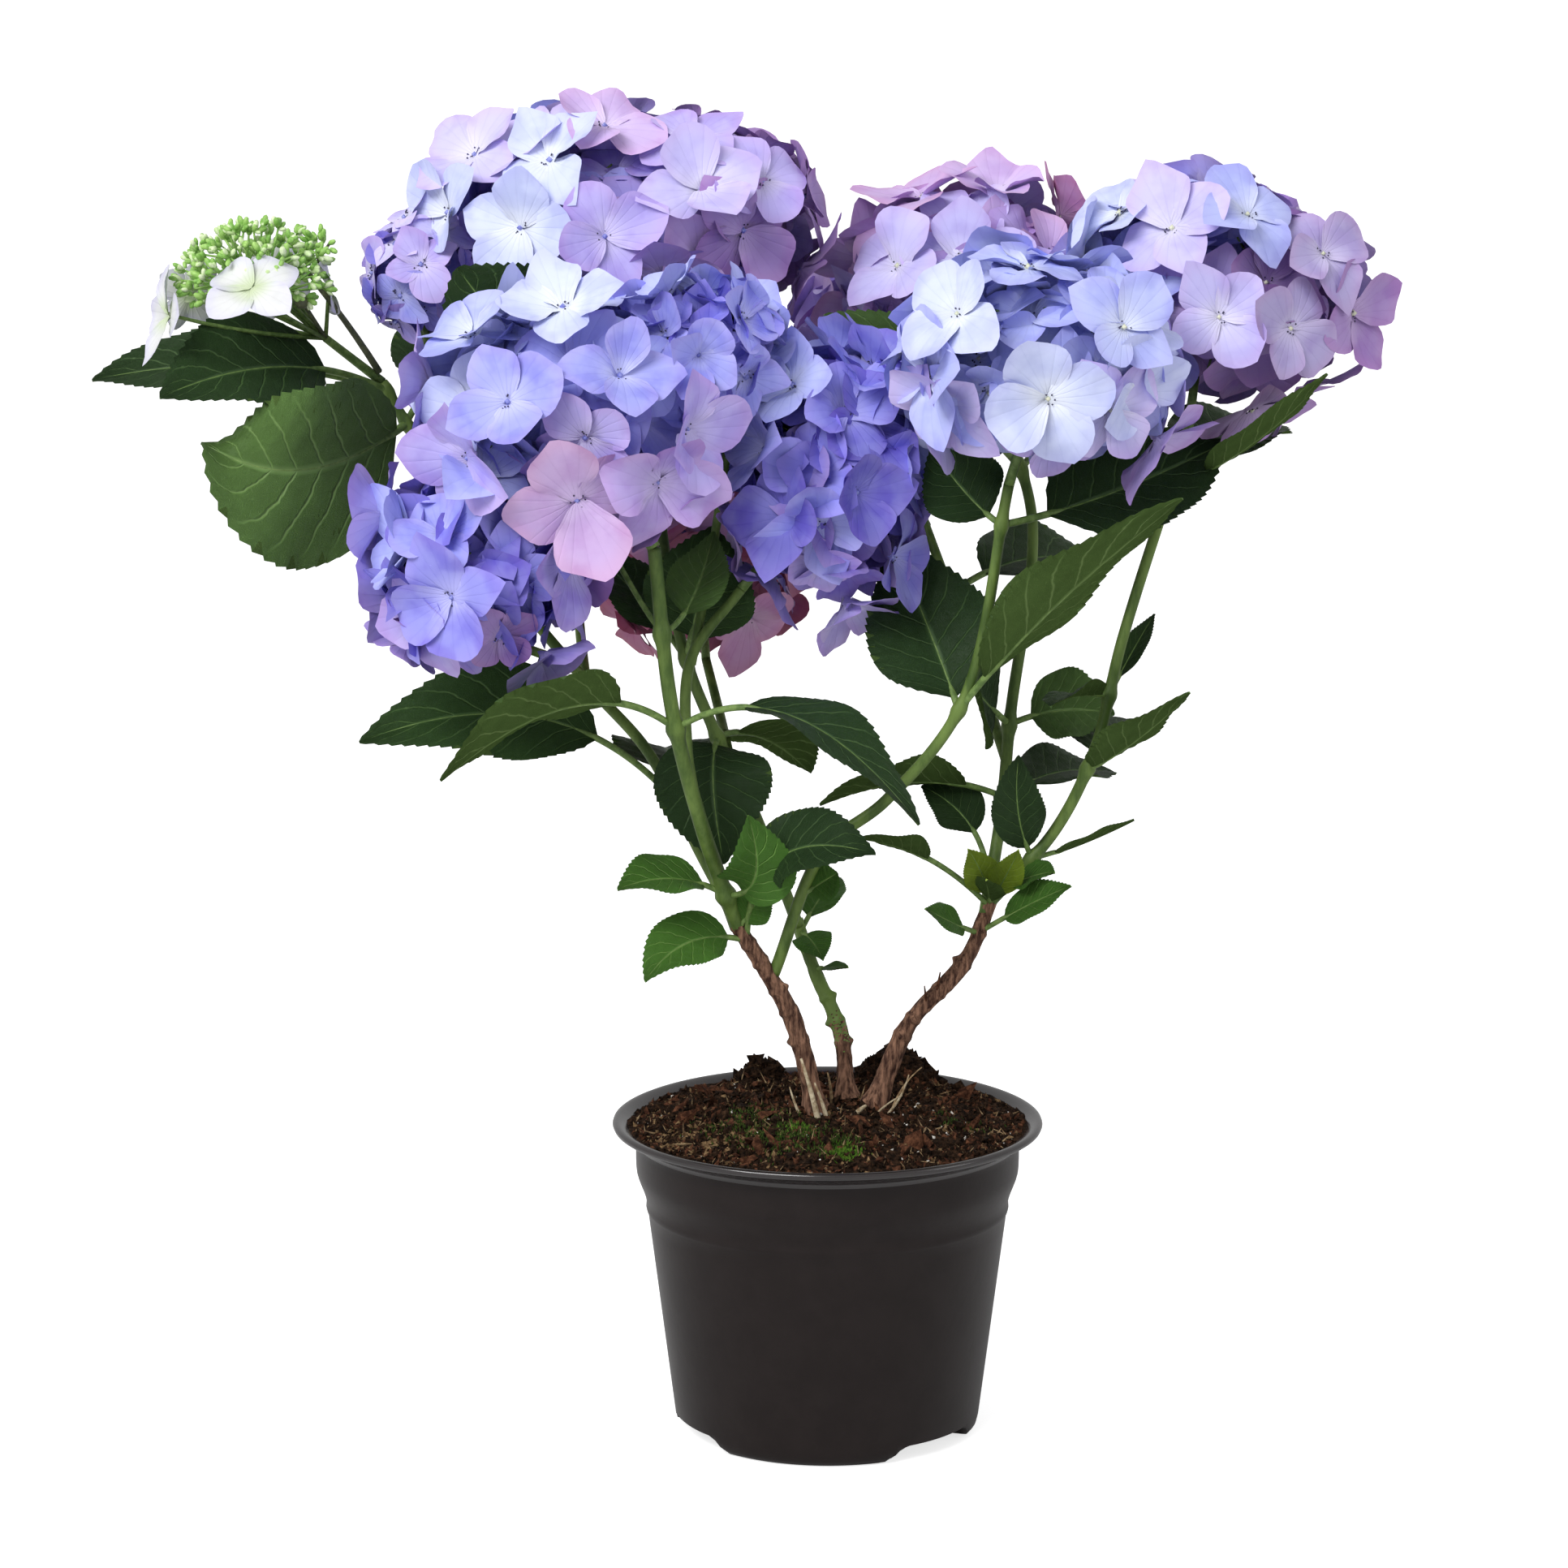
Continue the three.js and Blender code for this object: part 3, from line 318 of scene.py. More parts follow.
LEAF_PAIRS = {
    "leaves_front_low": ("shoot_front", 0.1, [
        blade((-92, -55, 259), 34, (0, 0, 12), (0, -0.35, 0.9), tint="fresh"),
        blade((-35, -56, 292), 34, (16, -8, -16), (0.2, -0.9, 0.3), tint="fresh")]),
    "leaves_front_middle": ("shoot_front", 0.57, [
        blade((-166, -100, 316), 56, (6, 0, 42), (-0.2, 0.5, 0.85), 0.28, "middling"),
        blade((38, -116, 300), 44, (2, 0, 50), (0.75, -0.45, 0.5), 0.3, "dark")]),
    "leaves_front_high": ("shoot_front", 0.8, [
        blade((-104, -30, 424), 20, (0, 0, -6), (0.3, -0.9, 0.2), 0.75),
        blade((-50, -26, 412), 28, (4, 0, -14), (-0.3, -0.9, 0.2), 0.36, "middling")]),
    "leaves_left_foot": ("woody_stem_left", 0.9, [
        blade((-80, -60, 219), 30, (-8, 0, 16), (-0.3, -0.8, 0.5), 0.15, "fresh"),
        blade((20, -75, 279), 38, (-24, 0, 38), (0.2, -0.75, 0.65), 0.36, "dark")]),
    "leaves_far_left_low": ("shoot_far_left", 0.24, [
        blade((-206, -24, 318), 50, (10, 0, 50), (-0.1, -0.75, 0.65), 0.3, "deep"),
        blade((-76, 94, 290), 50, (0, 0, 24))]),
    "leaves_far_left_middle": ("shoot_far_left", 0.66, [
        blade((-212, 96, 398), 60, (0, 0, 20)),
        blade((-82, 98, 424), 54, (0, 0, 16))]),
    "leaves_far_left_top": ("shoot_far_left", 0.93, [
        blade((-272, -26, 451), 88, (-1, -60, -25), (0.9, -0.39, -0.2), 0.05, "middling"),
        blade((-150, 104, 478), 60, (0, 0, 20))]),
    "leaves_far_left_end": ("shoot_far_left", 0.985, [
        blade((-288, -40, 472), 56, (0, 0, 24), (-0.2, -0.8, 0.5), 0.3, "dark"),
        blade((-326, 30, 471), 46, (0, 0, 18), (0, -0.5, 0.85), 0.3, "dark")]),
    "leaves_crown_low": ("shoot_crown", 0.36, [
        blade((-46, -18, 262), 52, (-6, -22, 14), (0, -0.95, 0.2), 0.1, "dark"),
        blade((-7, 42, 292), 48, (0, 0, 16), (0.1, 0.5, 0.85), tint="middling")]),
    "leaves_crown_middle": ("shoot_crown", 0.5, [
        blade((-50, -10, 412), 50, (0, -8, 0), (0, -0.9, 0.3), 0.2),
        blade((-104, 34, 392), 40, (0, 0, 8))]),
    "leaves_crown_high": ("shoot_crown", 0.84, [
        blade((-160, -28, 527), 68, (-26, -32, 18), (-0.2, -0.8, 0.5), tint="dark"),
        blade((-30, 122, 476), 56, (0, 0, 18))]),
    "leaves_middle_foot": ("woody_stem_middle", 0.93, [
        blade((-2, 4, 214), 18, (0, 0, 4), (0, -0.6, 0.8), tint="fresh"),
        blade((6, 58, 240), 22, (0, 0, 6), tint="fresh")]),
    "leaves_pale_middle": ("shoot_pale", 0.6, [
        blade((28, 0, 404), 58, (4, 0, -6), (0.1, -0.95, 0.25), 0.1, "dark"),
        blade((149, -90, 436), 54, (-9, 0, 4), (-0.5, 0.6, 0.6), 0.16, "middling")]),
    "leaves_pale_high": ("shoot_pale", 0.93, [
        blade((44, -30, 449), 38, (0, 0, -6), (-0.2, -0.7, 0.7), 0.2, "dark"),
        blade((175, 0, 448), 64, (0, 0, -8), (0, -0.65, 0.75), tint="dark")]),
    "leaves_rose_low": ("shoot_rose", 0.24, [
        blade((-4, 8, 284), 42, (0, 0, 18), (0, 0.45, 0.85), tint="middling"),
        blade((132, 70, 286), 42, (0, 0, 12))]),
    "leaves_rose_middle": ("shoot_rose", 0.38, [
        blade((62, -14, 346), 50, (-8, 0, 4), (0, -0.85, 0.5), tint="dark"),
        blade((129, 34, 320), 44, (0, 0, 8), (0.1, -0.6, 0.8), tint="middling")]),
    "leaves_rose_high": ("shoot_rose", 0.88, [
        blade((-2, 4, 503), 40, (0, -16, 16), (-0.3, -0.8, 0.5), tint="middling"),
        blade((128, 140, 436), 60, (0, 0, 16))]),
    "leaves_right_low": ("shoot_right", 0.12, [
        blade((137, 20, 275), 15, (0, 0, -3), (0, 0.4, 0.9), tint="middling"),
        blade((84, -12, 310), 24, (-7, -4, 0), (0, -0.95, 0.2), 0.12, "dark")]),
    "leaves_right_middle": ("shoot_right", 0.33, [
        blade((157, -36, 343), 40, (0, 0, -6), (-0.6, 0.6, 0.45), 0.06, "middling"),
        blade((136, 66, 312), 38, (0, 0, 8))]),
    "leaves_right_upper": ("shoot_right", 0.48, [
        blade((97, -28, 335), 30, (-6, 0, 5), (0.1, 0.5, 0.8), 0.1),
        blade((146, 32, 366), 12, (0, 0, 2))]),
    "leaves_right_high": ("shoot_right", 0.9, [
        blade((212, -58, 485), 28, (4, -22, -6), (-0.3, 0.35, 0.9), tint="middling"),
        blade((204, 78, 444), 56, (0, 0, 16))]),
    "leaves_right_foot": ("woody_stem_right", 0.84, [
        blade((43, -30, 245), 16, (0, 0, -2), (0, -0.7, 0.6), 0.3, "fresh"),
        blade((107, -20, 253), 20, (0, 0, 2), (0.1, -0.6, 0.7), 0.3, "fresh")]),
    "leaves_right_fork": ("woody_stem_right", 0.955, [
        blade((13, -30, 277), 26, (0, 0, 14), (0, 0.3, 0.9), 0.5, "middling"),
        blade((42, 30, 288), 26, (16, 6, 14), (0, -0.6, 0.8), 0.5, "dark")]),
    "leaves_back_left": ("shoot_back_left", 0.55, [
        blade((-172, 108, 366), 60, (0, 0, 20)),
        blade((-66, 158, 356), 56, (0, 0, 16))]),
    "leaves_back_right": ("shoot_back_right", 0.6, [
        blade((-10, 130, 392), 58, (0, 0, 18)),
        blade((132, 132, 372), 60, (0, 0, 20))]),
}
SPROUTS = [
    ("woody_stem_right", 0.985, blade((62, -14, 268), 17, (0, -3, 4), (-0.2, -0.8, 0.5), 0.1, "sprout")),
    ("woody_stem_right", 0.985, blade((84, -16, 268), 15, (2, -3, 3), (0.2, -0.8, 0.5), 0.1, "sprout")),
    ("woody_stem_right", 0.97, blade((70, -20, 256), 15, (0, -4, 3), (0, -0.7, 0.7), 0.1, "sprout")),
    ("shoot_right", 0.04, blade((100, -14, 258), 18, (4, -2, 4), (0.1, -0.6, 0.8), 0.15, "fresh")),
    ("woody_stem_middle", 0.72, blade((9, 8, 210), 7, (2, -2, 1), (0, -0.5, 0.9), 0.2, "fresh")),
    ("woody_stem_left", 0.97, blade((-26, -34, 256), 18, (0, -4, 2), (0.2, -0.8, 0.5), 0.15, "fresh")),
    ("shoot_pale", 0.16, blade((4, -34, 262), 20, (4, -4, 3), (0, -0.8, 0.5), 0.2, "fresh")),
]
print(2 * len(LEAF_PAIRS), "leaves and", len(SPROUTS), "young ones")

# %% Heads: what each grows on, its size, its florets and their tints from the cool to the warm side, deeper there in painted shade


def mophead(on, at, radii, florets, slot, warm_and_shaded_side, tints, inner, showy=(), lift=0.3, depth=12.0,
            lean=0.45, size=1.0):
    """The plan of one round head. `showy` lists florets that face the camera, each by how far right
    and up of the centre it is seen, its petals' length and its tint. `lift` is how steeply petals
    stand, `depth` how unevenly the florets sit, `lean` how untidily they face."""
    return {"on": on, "at": at, "radii": radii, "florets": florets, "slot": slot,
            "warm_and_shaded_side": warm_and_shaded_side, "tints": tints, "inner": inner, "showy": showy, "lift": lift,
            "depth": depth, "lean": lean, "size": size}


# Tints run from the cool side to the warm and shaded side. The pink is the flowers' own colour, but
# rose tints low down, on the right and at the back, like the deeper inner lists, are painted shade.
# the pale tints on the lit upper left are partly painted light, and the deeper violet, mauve and old
HEADS = {
    "bloom_crown": mophead(
        "shoot_crown", (-91, 55, 537), (100, 69, 55), 76, "violet_blossom", (0.8, 0, -0.2),
        ["ice_blue", "pale_lilac", "pale_periwinkle", "soft_lilac", "pale_lilac", "soft_lilac",
         "pink_lilac", "mauve"],
        ["periwinkle", "violet", "lilac", "mauve"],
        [(-61, 24, 26, "pale_lilac"), (-71, 2, 25, "ice_blue"), (-41, -6, 25, "ice_blue"),
         (-6, -10, 27, "soft_lilac"), (34, 8, 28, "pale_lilac"), (29, 30, 24, "soft_lilac"),
         (-7, 34, 25, "pink_lilac"), (-29, 20, 24, "ice_blue"), (77, -17, 28, "mauve"),
         (58, 12, 24, "soft_lilac"), (37, 50, 13, "pink_lilac")]),
    "bloom_crown_side": mophead(
        "shoot_crown_side", (-179, 40, 514), (28, 28, 38), 18, "violet_blossom", (0, 0, -0.8),
        ["pale_lilac", "soft_lilac", "periwinkle", "violet"], ["violet", "deep_violet_blue"], depth=6.0),
    "bloom_front_low": mophead(
        "shoot_front_low", (-148, -60, 403), (57, 54, 60), 50, "violet_blossom", (0.3, 0, -0.7),
        ["pale_periwinkle", "periwinkle", "soft_lilac", "violet", "violet", "mauve", "mauve"],
        ["violet_blue", "deep_violet_blue", "deep_violet_blue"],
        # Its violet and mauve florets low down are painted shade.
        [(-10, -14, 26, "violet_blue"), (-42, 22, 25, "soft_lilac"), (22, -36, 25, "violet"),
         (1, 31, 25, "pale_periwinkle"), (33, -1, 24, "violet")], lift=0.42, depth=10.0, lean=0.55),
    "bloom_front": mophead(
        "shoot_front", (-110, -58, 467), (72, 59, 63), 54, "violet_blossom", (0.6, 0, -0.8),
        ["pale_periwinkle", "ice_blue", "pale_periwinkle", "periwinkle", "soft_lilac", "lilac",
         "pink_lilac"],
        ["pale_periwinkle", "periwinkle", "lilac"],
        [(-2, 38, 26, "ice_blue"), (-38, 29, 25, "pale_periwinkle"), (-57, 12, 24, "soft_lilac"),
         (3, -34, 30, "blush"), (34, -27, 27, "lilac"), (20, 12, 25, "periwinkle"),
         (-23, 2, 25, "periwinkle"), (45, -7, 28, "soft_lilac"), (47, -42, 26, "mauve")],
        lift=0.38, depth=11.0, lean=0.5),
    "bloom_middle_high": mophead(
        "shoot_middle_high", (-57, -48, 494), (40, 37, 38), 26, "violet_blossom", (0.2, 0, -0.6),
        ["pale_periwinkle", "pale_periwinkle", "periwinkle", "periwinkle", "violet_blue"],
        ["violet_blue", "violet_blue"],
        [(1, -4, 20, "periwinkle"), (-10, 20, 19, "pale_periwinkle"), (-7, -27, 21, "periwinkle")],
        lift=0.6, depth=6.0, lean=0.5),
    "bloom_middle": mophead(
        "shoot_middle", (0, -20, 434), (48, 50, 71), 50, "violet_blossom", (0.1, 0, -0.8),
        ["periwinkle", "pale_periwinkle", "periwinkle", "violet_blue", "deep_violet_blue", "violet",
         "soft_lilac"],
        ["deep_violet_blue", "deep_violet_blue", "violet"],
        [(-13, 36, 23, "pale_periwinkle"), (10, -7, 22, "deep_violet_blue"), (-25, 11, 22, "periwinkle"),
         (23, -32, 23, "violet_blue"), (6, -50, 26, "soft_lilac"), (-22, -42, 23, "violet"),
         (-39, -20, 24, "lilac")],
        lift=0.5, depth=8.0, lean=0.5, size=0.92),
    "bloom_rose": mophead(
        "shoot_rose", (66, 78, 504), (68, 55, 55), 50, "rose_blossom", (0.3, 0, 0.1),
        ["pale_lilac", "pink_lilac", "pale_lilac", "blush", "pink_lilac", "blush", "blush"],
        ["pink_lilac", "lilac", "blush"],
        [(-21, 36, 25, "blush"), (9, 38, 24, "pink_lilac"), (-32, 8, 26, "pale_lilac"),
         (36, 31, 24, "rose_pink")],
        lift=0.4, lean=0.5),
    "bloom_pale": mophead(
        "shoot_pale", (91, -58, 486), (74, 54, 55), 44, "pale_blossom", (0.5, 0, -0.6),
        ["ice_blue", "pale_periwinkle", "ice_blue", "pale_periwinkle", "pale_lilac", "soft_lilac"],
        ["pale_periwinkle", "pale_periwinkle", "soft_lilac"],
        [(-34, 18, 27, "ice_blue"), (0, -13, 26, "ice_blue"), (-7, 37, 24, "pale_periwinkle"),
         (29, 13, 25, "pale_periwinkle"), (50, -29, 29, "lilac"), (-64, 9, 24, "pale_periwinkle")],
        size=1.05),
    "bloom_right": mophead(
        "shoot_right", (165, 12, 507), (79, 59, 62), 54, "pale_blossom", (0.8, 0, -0.4),
        ["ice_blue", "pale_periwinkle", "pale_lilac", "soft_lilac", "pale_lilac", "dusky_lilac",
         "dusky_lilac", "mauve"],
        ["periwinkle", "lilac", "mauve"],
        # The mauve florets on its right and low side are painted shade.
        [(-16, 25, 26, "pale_lilac"), (14, 31, 24, "pale_periwinkle"), (31, -13, 25, "dusky_lilac"),
         (44, 16, 24, "dusky_lilac"), (57, -5, 24, "mauve"), (-36, 33, 25, "ice_blue"),
         (2, -9, 24, "pale_lilac"), (17, -42, 24, "mauve"), (45, -34, 24, "mauve")], lift=0.26),
    "bloom_back_left": mophead(
        "shoot_back_left", (-124, 150, 452), (64, 56, 56), 50, "violet_blossom", (0.3, 0.5, -0.5),
        ["pale_periwinkle", "periwinkle", "soft_lilac", "violet", "lilac"], ["violet_blue", "violet"],
        lift=0.3),
    "bloom_back_middle": mophead(
        "shoot_back_middle", (-58, 86, 384), (57, 46, 49), 40, "rose_blossom", (0, -0.5, -0.5),
        # Its deep old rose tints are partly painted shade under the heads above it.
        ["mauve", "rose_pink", "old_rose", "old_rose"], ["old_rose"],
        [(-34, -34, 24, "old_rose"), (20, -24, 24, "rose_pink")], lift=0.3),
    "bloom_back_right": mophead(
        "shoot_back_right", (30, 152, 462), (56, 50, 50), 42, "rose_blossom", (0, 0.3, -0.5),
        ["pale_lilac", "soft_lilac", "pink_lilac", "lilac", "rose_pink"], ["lilac", "mauve"], lift=0.3),
}
print(sum(head["florets"] for head in HEADS.values()), "outer florets")

# %% [markdown]
# ## Finishes
# Plant surfaces are never one flat colour: veins, grain and paler edges break them up. Each kind of
# pattern is a node group built once, with named inputs, and each finish places it with its own
# colours. Colours that differ from floret to floret or leaf to leaf are separate finishes, dealt out
# one by one, because a pattern over the whole crown wouldn't know one leaf from the next.

# %% Helpers for node trees


def link(tree, value, socket):
    """Joins a socket to a socket, or sets a plain value on it."""
    if isinstance(value, bpy.types.NodeSocket):
        tree.links.new(value, socket)
    else:
        socket.default_value = value


def node(tree, kind, values=(), **settings):
    """A node with its settings, its inputs set in order; None leaves an input alone."""
    made = tree.nodes.new(kind)
    for name, setting in settings.items():
        setattr(made, name, setting)
    for socket, value in zip(made.inputs, values):
        if value is not None:
            link(tree, value, socket)
    return made


def sums(tree, operation, *values):
    """The result of one Math node."""
    return node(tree, "ShaderNodeMath", values, operation=operation).outputs[0]


def ramp(tree, value, low, high):
    """0 where the value is low and 1 where it is high, with a smooth step between."""
    made = node(tree, "ShaderNodeMapRange", (value, low, high), interpolation_type="SMOOTHSTEP")
    return made.outputs["Result"]


def blended(tree, share, first, second):
    """The first colour where the share is 0, the second where it is 1."""
    made = node(tree, "ShaderNodeMix", data_type="RGBA")
    link(tree, share, made.inputs["Factor"])
    link(tree, first, made.inputs[6])
    link(tree, second, made.inputs[7])
    return made.outputs[2]


def group(name, inputs, outputs):
    """An empty node group with named sockets, and its two ends."""
    tree = bpy.data.node_groups.new(name, "ShaderNodeTree")
    for way, sockets in (("INPUT", inputs), ("OUTPUT", outputs)):
        for label, kind in sockets.items():
            tree.interface.new_socket(name=label, in_out=way, socket_type="NodeSocket" + kind)
    return tree, tree.nodes.new("NodeGroupInput").outputs, tree.nodes.new("NodeGroupOutput").inputs


print("helpers for finishes are ready")

# %% [markdown]
# A petal is palest round the eye, fine veins fan out from its base, and its margin takes a second
# tint. A leaf has a midrib with about seven pairs of side veins that curve towards its tip, with a
# fine net between them. Both patterns follow the surface, so they read the map that each grid laid:
# across in X and along in Y. Grain is noise in the object's own space, for bark, soil and plastic,
# and so are the soft blotches that make petals of one tint differ.

# %% The petal's pattern
PETAL_VEINS = 9.0
VEINS_MEET = 1.25
VEIN_SHARPNESS = 5.0
VEIN_SHARE = 0.1
MARGIN_SHARE = 0.7
HEART_SHARE = 0.85
BLOTCH_SIZE = 62.0
BLOTCH_SHARE = 0.62
SHADED_HUE = 0.507
SHADED_SATURATION = 1.28
SHADED_VALUE = 0.84

petal_tree, given, result = group(
    "petal_flush",
    {"Place": "Vector", "Spot": "Vector", "Petal": "Color", "Heart": "Color", "Margin": "Color"},
    {"Colour": "Color", "Relief": "Float"})
disc = node(petal_tree, "ShaderNodeVectorMath", [given["Place"], (2, 2, 0), (-1, -1, 0)],
            operation="MULTIPLY_ADD")
place = node(petal_tree, "ShaderNodeSeparateXYZ", [disc.outputs[0]]).outputs
angle = sums(petal_tree, "ARCTAN2", place[0], sums(petal_tree, "ADD", place[1], VEINS_MEET))
fan = sums(petal_tree, "PINGPONG", sums(petal_tree, "MULTIPLY", angle, PETAL_VEINS), 1.0)
fan = sums(petal_tree, "POWER", fan, VEIN_SHARPNESS)
from_middle = node(petal_tree, "ShaderNodeVectorMath", [disc.outputs[0]], operation="LENGTH")
edge = ramp(petal_tree, from_middle.outputs["Value"], 0.45, 1.0)
heart = ramp(petal_tree, place[1], 0.1, -0.95)
blotch = node(petal_tree, "ShaderNodeTexNoise", [given["Spot"], None, BLOTCH_SIZE, 3.0])
edge = sums(petal_tree, "MULTIPLY", edge, MARGIN_SHARE)
heart = sums(petal_tree, "MULTIPLY", heart, HEART_SHARE)
tinted = blended(petal_tree, edge, given["Petal"], given["Margin"])
tinted = blended(petal_tree, heart, tinted, given["Heart"])
blotched = sums(petal_tree, "MULTIPLY", ramp(petal_tree, blotch.outputs[0], 0.42, 0.66), BLOTCH_SHARE)
shade = sums(petal_tree, "ADD", sums(petal_tree, "MULTIPLY", fan, VEIN_SHARE), blotched)
veined = node(petal_tree, "ShaderNodeHueSaturation",
              [SHADED_HUE, SHADED_SATURATION, SHADED_VALUE, shade, tinted])
link(petal_tree, veined.outputs[0], result["Colour"])
link(petal_tree, sums(petal_tree, "MULTIPLY", fan, -1.0), result["Relief"])
print("group:", petal_tree.name)

# %% The leaf's pattern
SIDE_VEINS = 7.5
VEIN_SWEEP = 0.26
VEIN_WANDER = 0.05
RIB_WIDTH = 0.07
SIDE_VEIN_WIDTH = 0.085
NET_CELLS = (22.0, 34.0, 1.0)
NET_WIDTH = 0.14
NET_SHARE = 0.3
MOTTLED_SHARE = 0.45

leaf_tree, given, result = group(
    "blade_veins", {"Place": "Vector", "Blade": "Color", "Vein": "Color", "Strength": "Float"},
    {"Colour": "Color", "Relief": "Float"})
place = node(leaf_tree, "ShaderNodeSeparateXYZ", [given["Place"]]).outputs
aside = sums(leaf_tree, "ABSOLUTE", sums(leaf_tree, "SUBTRACT", place[0], 0.5))
aside = sums(leaf_tree, "MULTIPLY", aside, 2.0)
wander = node(leaf_tree, "ShaderNodeTexNoise", [given["Place"], None, 7.0, 2.0])
swept = sums(leaf_tree, "SUBTRACT", place[1], sums(leaf_tree, "MULTIPLY", aside, VEIN_SWEEP))
swept = sums(leaf_tree, "ADD", swept, sums(leaf_tree, "MULTIPLY", wander.outputs[0], VEIN_WANDER))
side_gap = sums(leaf_tree, "PINGPONG", sums(leaf_tree, "MULTIPLY", swept, SIDE_VEINS), 0.5)
rib = ramp(leaf_tree, aside, RIB_WIDTH, 0.0)
side_vein = ramp(leaf_tree, side_gap, SIDE_VEIN_WIDTH, 0.0)
side_vein = sums(leaf_tree, "MULTIPLY", side_vein, ramp(leaf_tree, aside, 1.0, 0.55))
net_place = node(leaf_tree, "ShaderNodeVectorMath", [given["Place"], NET_CELLS], operation="MULTIPLY")
net = node(leaf_tree, "ShaderNodeTexVoronoi", [net_place.outputs[0]], feature="DISTANCE_TO_EDGE")
net_lines = ramp(leaf_tree, net.outputs["Distance"], NET_WIDTH, 0.0)
net_lines = sums(leaf_tree, "MULTIPLY", net_lines, NET_SHARE)
veins = sums(leaf_tree, "MAXIMUM", sums(leaf_tree, "MAXIMUM", rib, side_vein), net_lines)
light = ramp(leaf_tree, wander.outputs[0], -0.6, 1.4)
mottled = node(leaf_tree, "ShaderNodeHueSaturation", [0.5, 1.0, light, 1.0, given["Blade"]])
uneven = blended(leaf_tree, MOTTLED_SHARE, given["Blade"], mottled.outputs[0])
shown = sums(leaf_tree, "MULTIPLY", veins, given["Strength"])
link(leaf_tree, blended(leaf_tree, shown, uneven, given["Vein"]), result["Colour"])
link(leaf_tree, sums(leaf_tree, "MULTIPLY", veins, -1.0), result["Relief"])
print("group:", leaf_tree.name)

# %% Grain for bark, soil and plastic
grain_tree, given, result = group(
    "grain", {"Place": "Vector", "Size": "Float", "Dark": "Color", "Light": "Color"},
    {"Colour": "Color", "Relief": "Float"})
broad = node(grain_tree, "ShaderNodeTexNoise", [given["Place"], None, given["Size"], 6.0, 0.62])
share = ramp(grain_tree, broad.outputs[0], 0.34, 0.66)
link(grain_tree, blended(grain_tree, share, given["Dark"], given["Light"]), result["Colour"])
link(grain_tree, share, result["Relief"])
print("group:", grain_tree.name)

# %% Placing a pattern in a finish


def finish(name, tree, values, roughness, bump, specular, by_map=True, stretch=(1, 1, 1)):
    """A finish: the pattern's colour and relief on a Principled surface. The bump is in mm. The
    pattern lies on the piece's map, or else in the object's space, stretched by its axes."""
    look = bpy.data.materials.new(name)
    look.use_nodes = True
    nodes = look.node_tree
    surface = nodes.nodes["Principled BSDF"]
    if by_map:
        source = node(nodes, "ShaderNodeUVMap", uv_map="surface").outputs[0]
    else:
        source = node(nodes, "ShaderNodeTexCoord").outputs["Object"]
    if stretch != (1, 1, 1):
        source = node(nodes, "ShaderNodeVectorMath", [source, stretch], operation="MULTIPLY").outputs[0]
    pattern = node(nodes, "ShaderNodeGroup", node_tree=tree)
    link(nodes, source, pattern.inputs["Place"])
    if "Spot" in pattern.inputs:
        link(nodes, node(nodes, "ShaderNodeTexCoord").outputs["Object"], pattern.inputs["Spot"])
    for label, value in values.items():
        pattern.inputs[label].default_value = value
    link(nodes, pattern.outputs["Colour"], surface.inputs["Base Color"])
    relief = node(nodes, "ShaderNodeBump")
    relief.inputs["Distance"].default_value = bump * MM
    link(nodes, pattern.outputs["Relief"], relief.inputs["Height"])
    link(nodes, relief.outputs[0], surface.inputs["Normal"])
    surface.inputs["Roughness"].default_value = roughness
    surface.inputs["Specular IOR Level"].default_value = specular


print("finishes take their bump in mm")

# %% Petal tints: each by its petal, heart and margin
PETALS = {
    "ice_blue": ((212, 220, 255), (238, 243, 252), (203, 208, 253)),
    "pale_periwinkle": ((192, 200, 252), (224, 231, 252), (186, 189, 250)),
    "pale_lilac": ((208, 202, 250), (233, 231, 252), (210, 193, 244)),
    "soft_lilac": ((193, 182, 242), (221, 215, 249), (198, 175, 236)),
    "periwinkle": ((168, 172, 242), (203, 207, 251), (176, 171, 240)),
    "violet_blue": ((150, 150, 231), (189, 190, 246), (160, 153, 232)),
    "deep_violet_blue": ((127, 124, 209), (161, 161, 234), (139, 130, 212)),
    "violet": ((160, 149, 222), (196, 188, 242), (172, 152, 218)),
    "lilac": ((188, 169, 228), (214, 203, 243), (196, 166, 223)),
    "dusky_lilac": ((181, 170, 218), (206, 199, 234), (188, 164, 212)),
    "pink_lilac": ((211, 188, 236), (226, 212, 246), (216, 182, 230)),
    "mauve": ((169, 142, 200), (198, 176, 222), (177, 140, 196)),
    "blush": ((210, 182, 230), (216, 196, 241), (217, 177, 219)),
    "rose_pink": ((208, 158, 204), (222, 188, 222), (215, 156, 194)),
    "old_rose": ((174, 110, 144), (186, 136, 168), (184, 112, 136)),
    "young_white": ((226, 227, 228), (204, 220, 172), (212, 210, 234)),
}
for name, tints in PETALS.items():
    values = {label: colour(*tint) for label, tint in zip(("Petal", "Heart", "Margin"), tints)}
    finish(name, petal_tree, values, roughness=0.6, bump=0.12, specular=0.3)
print(len(PETALS), "petal tints")

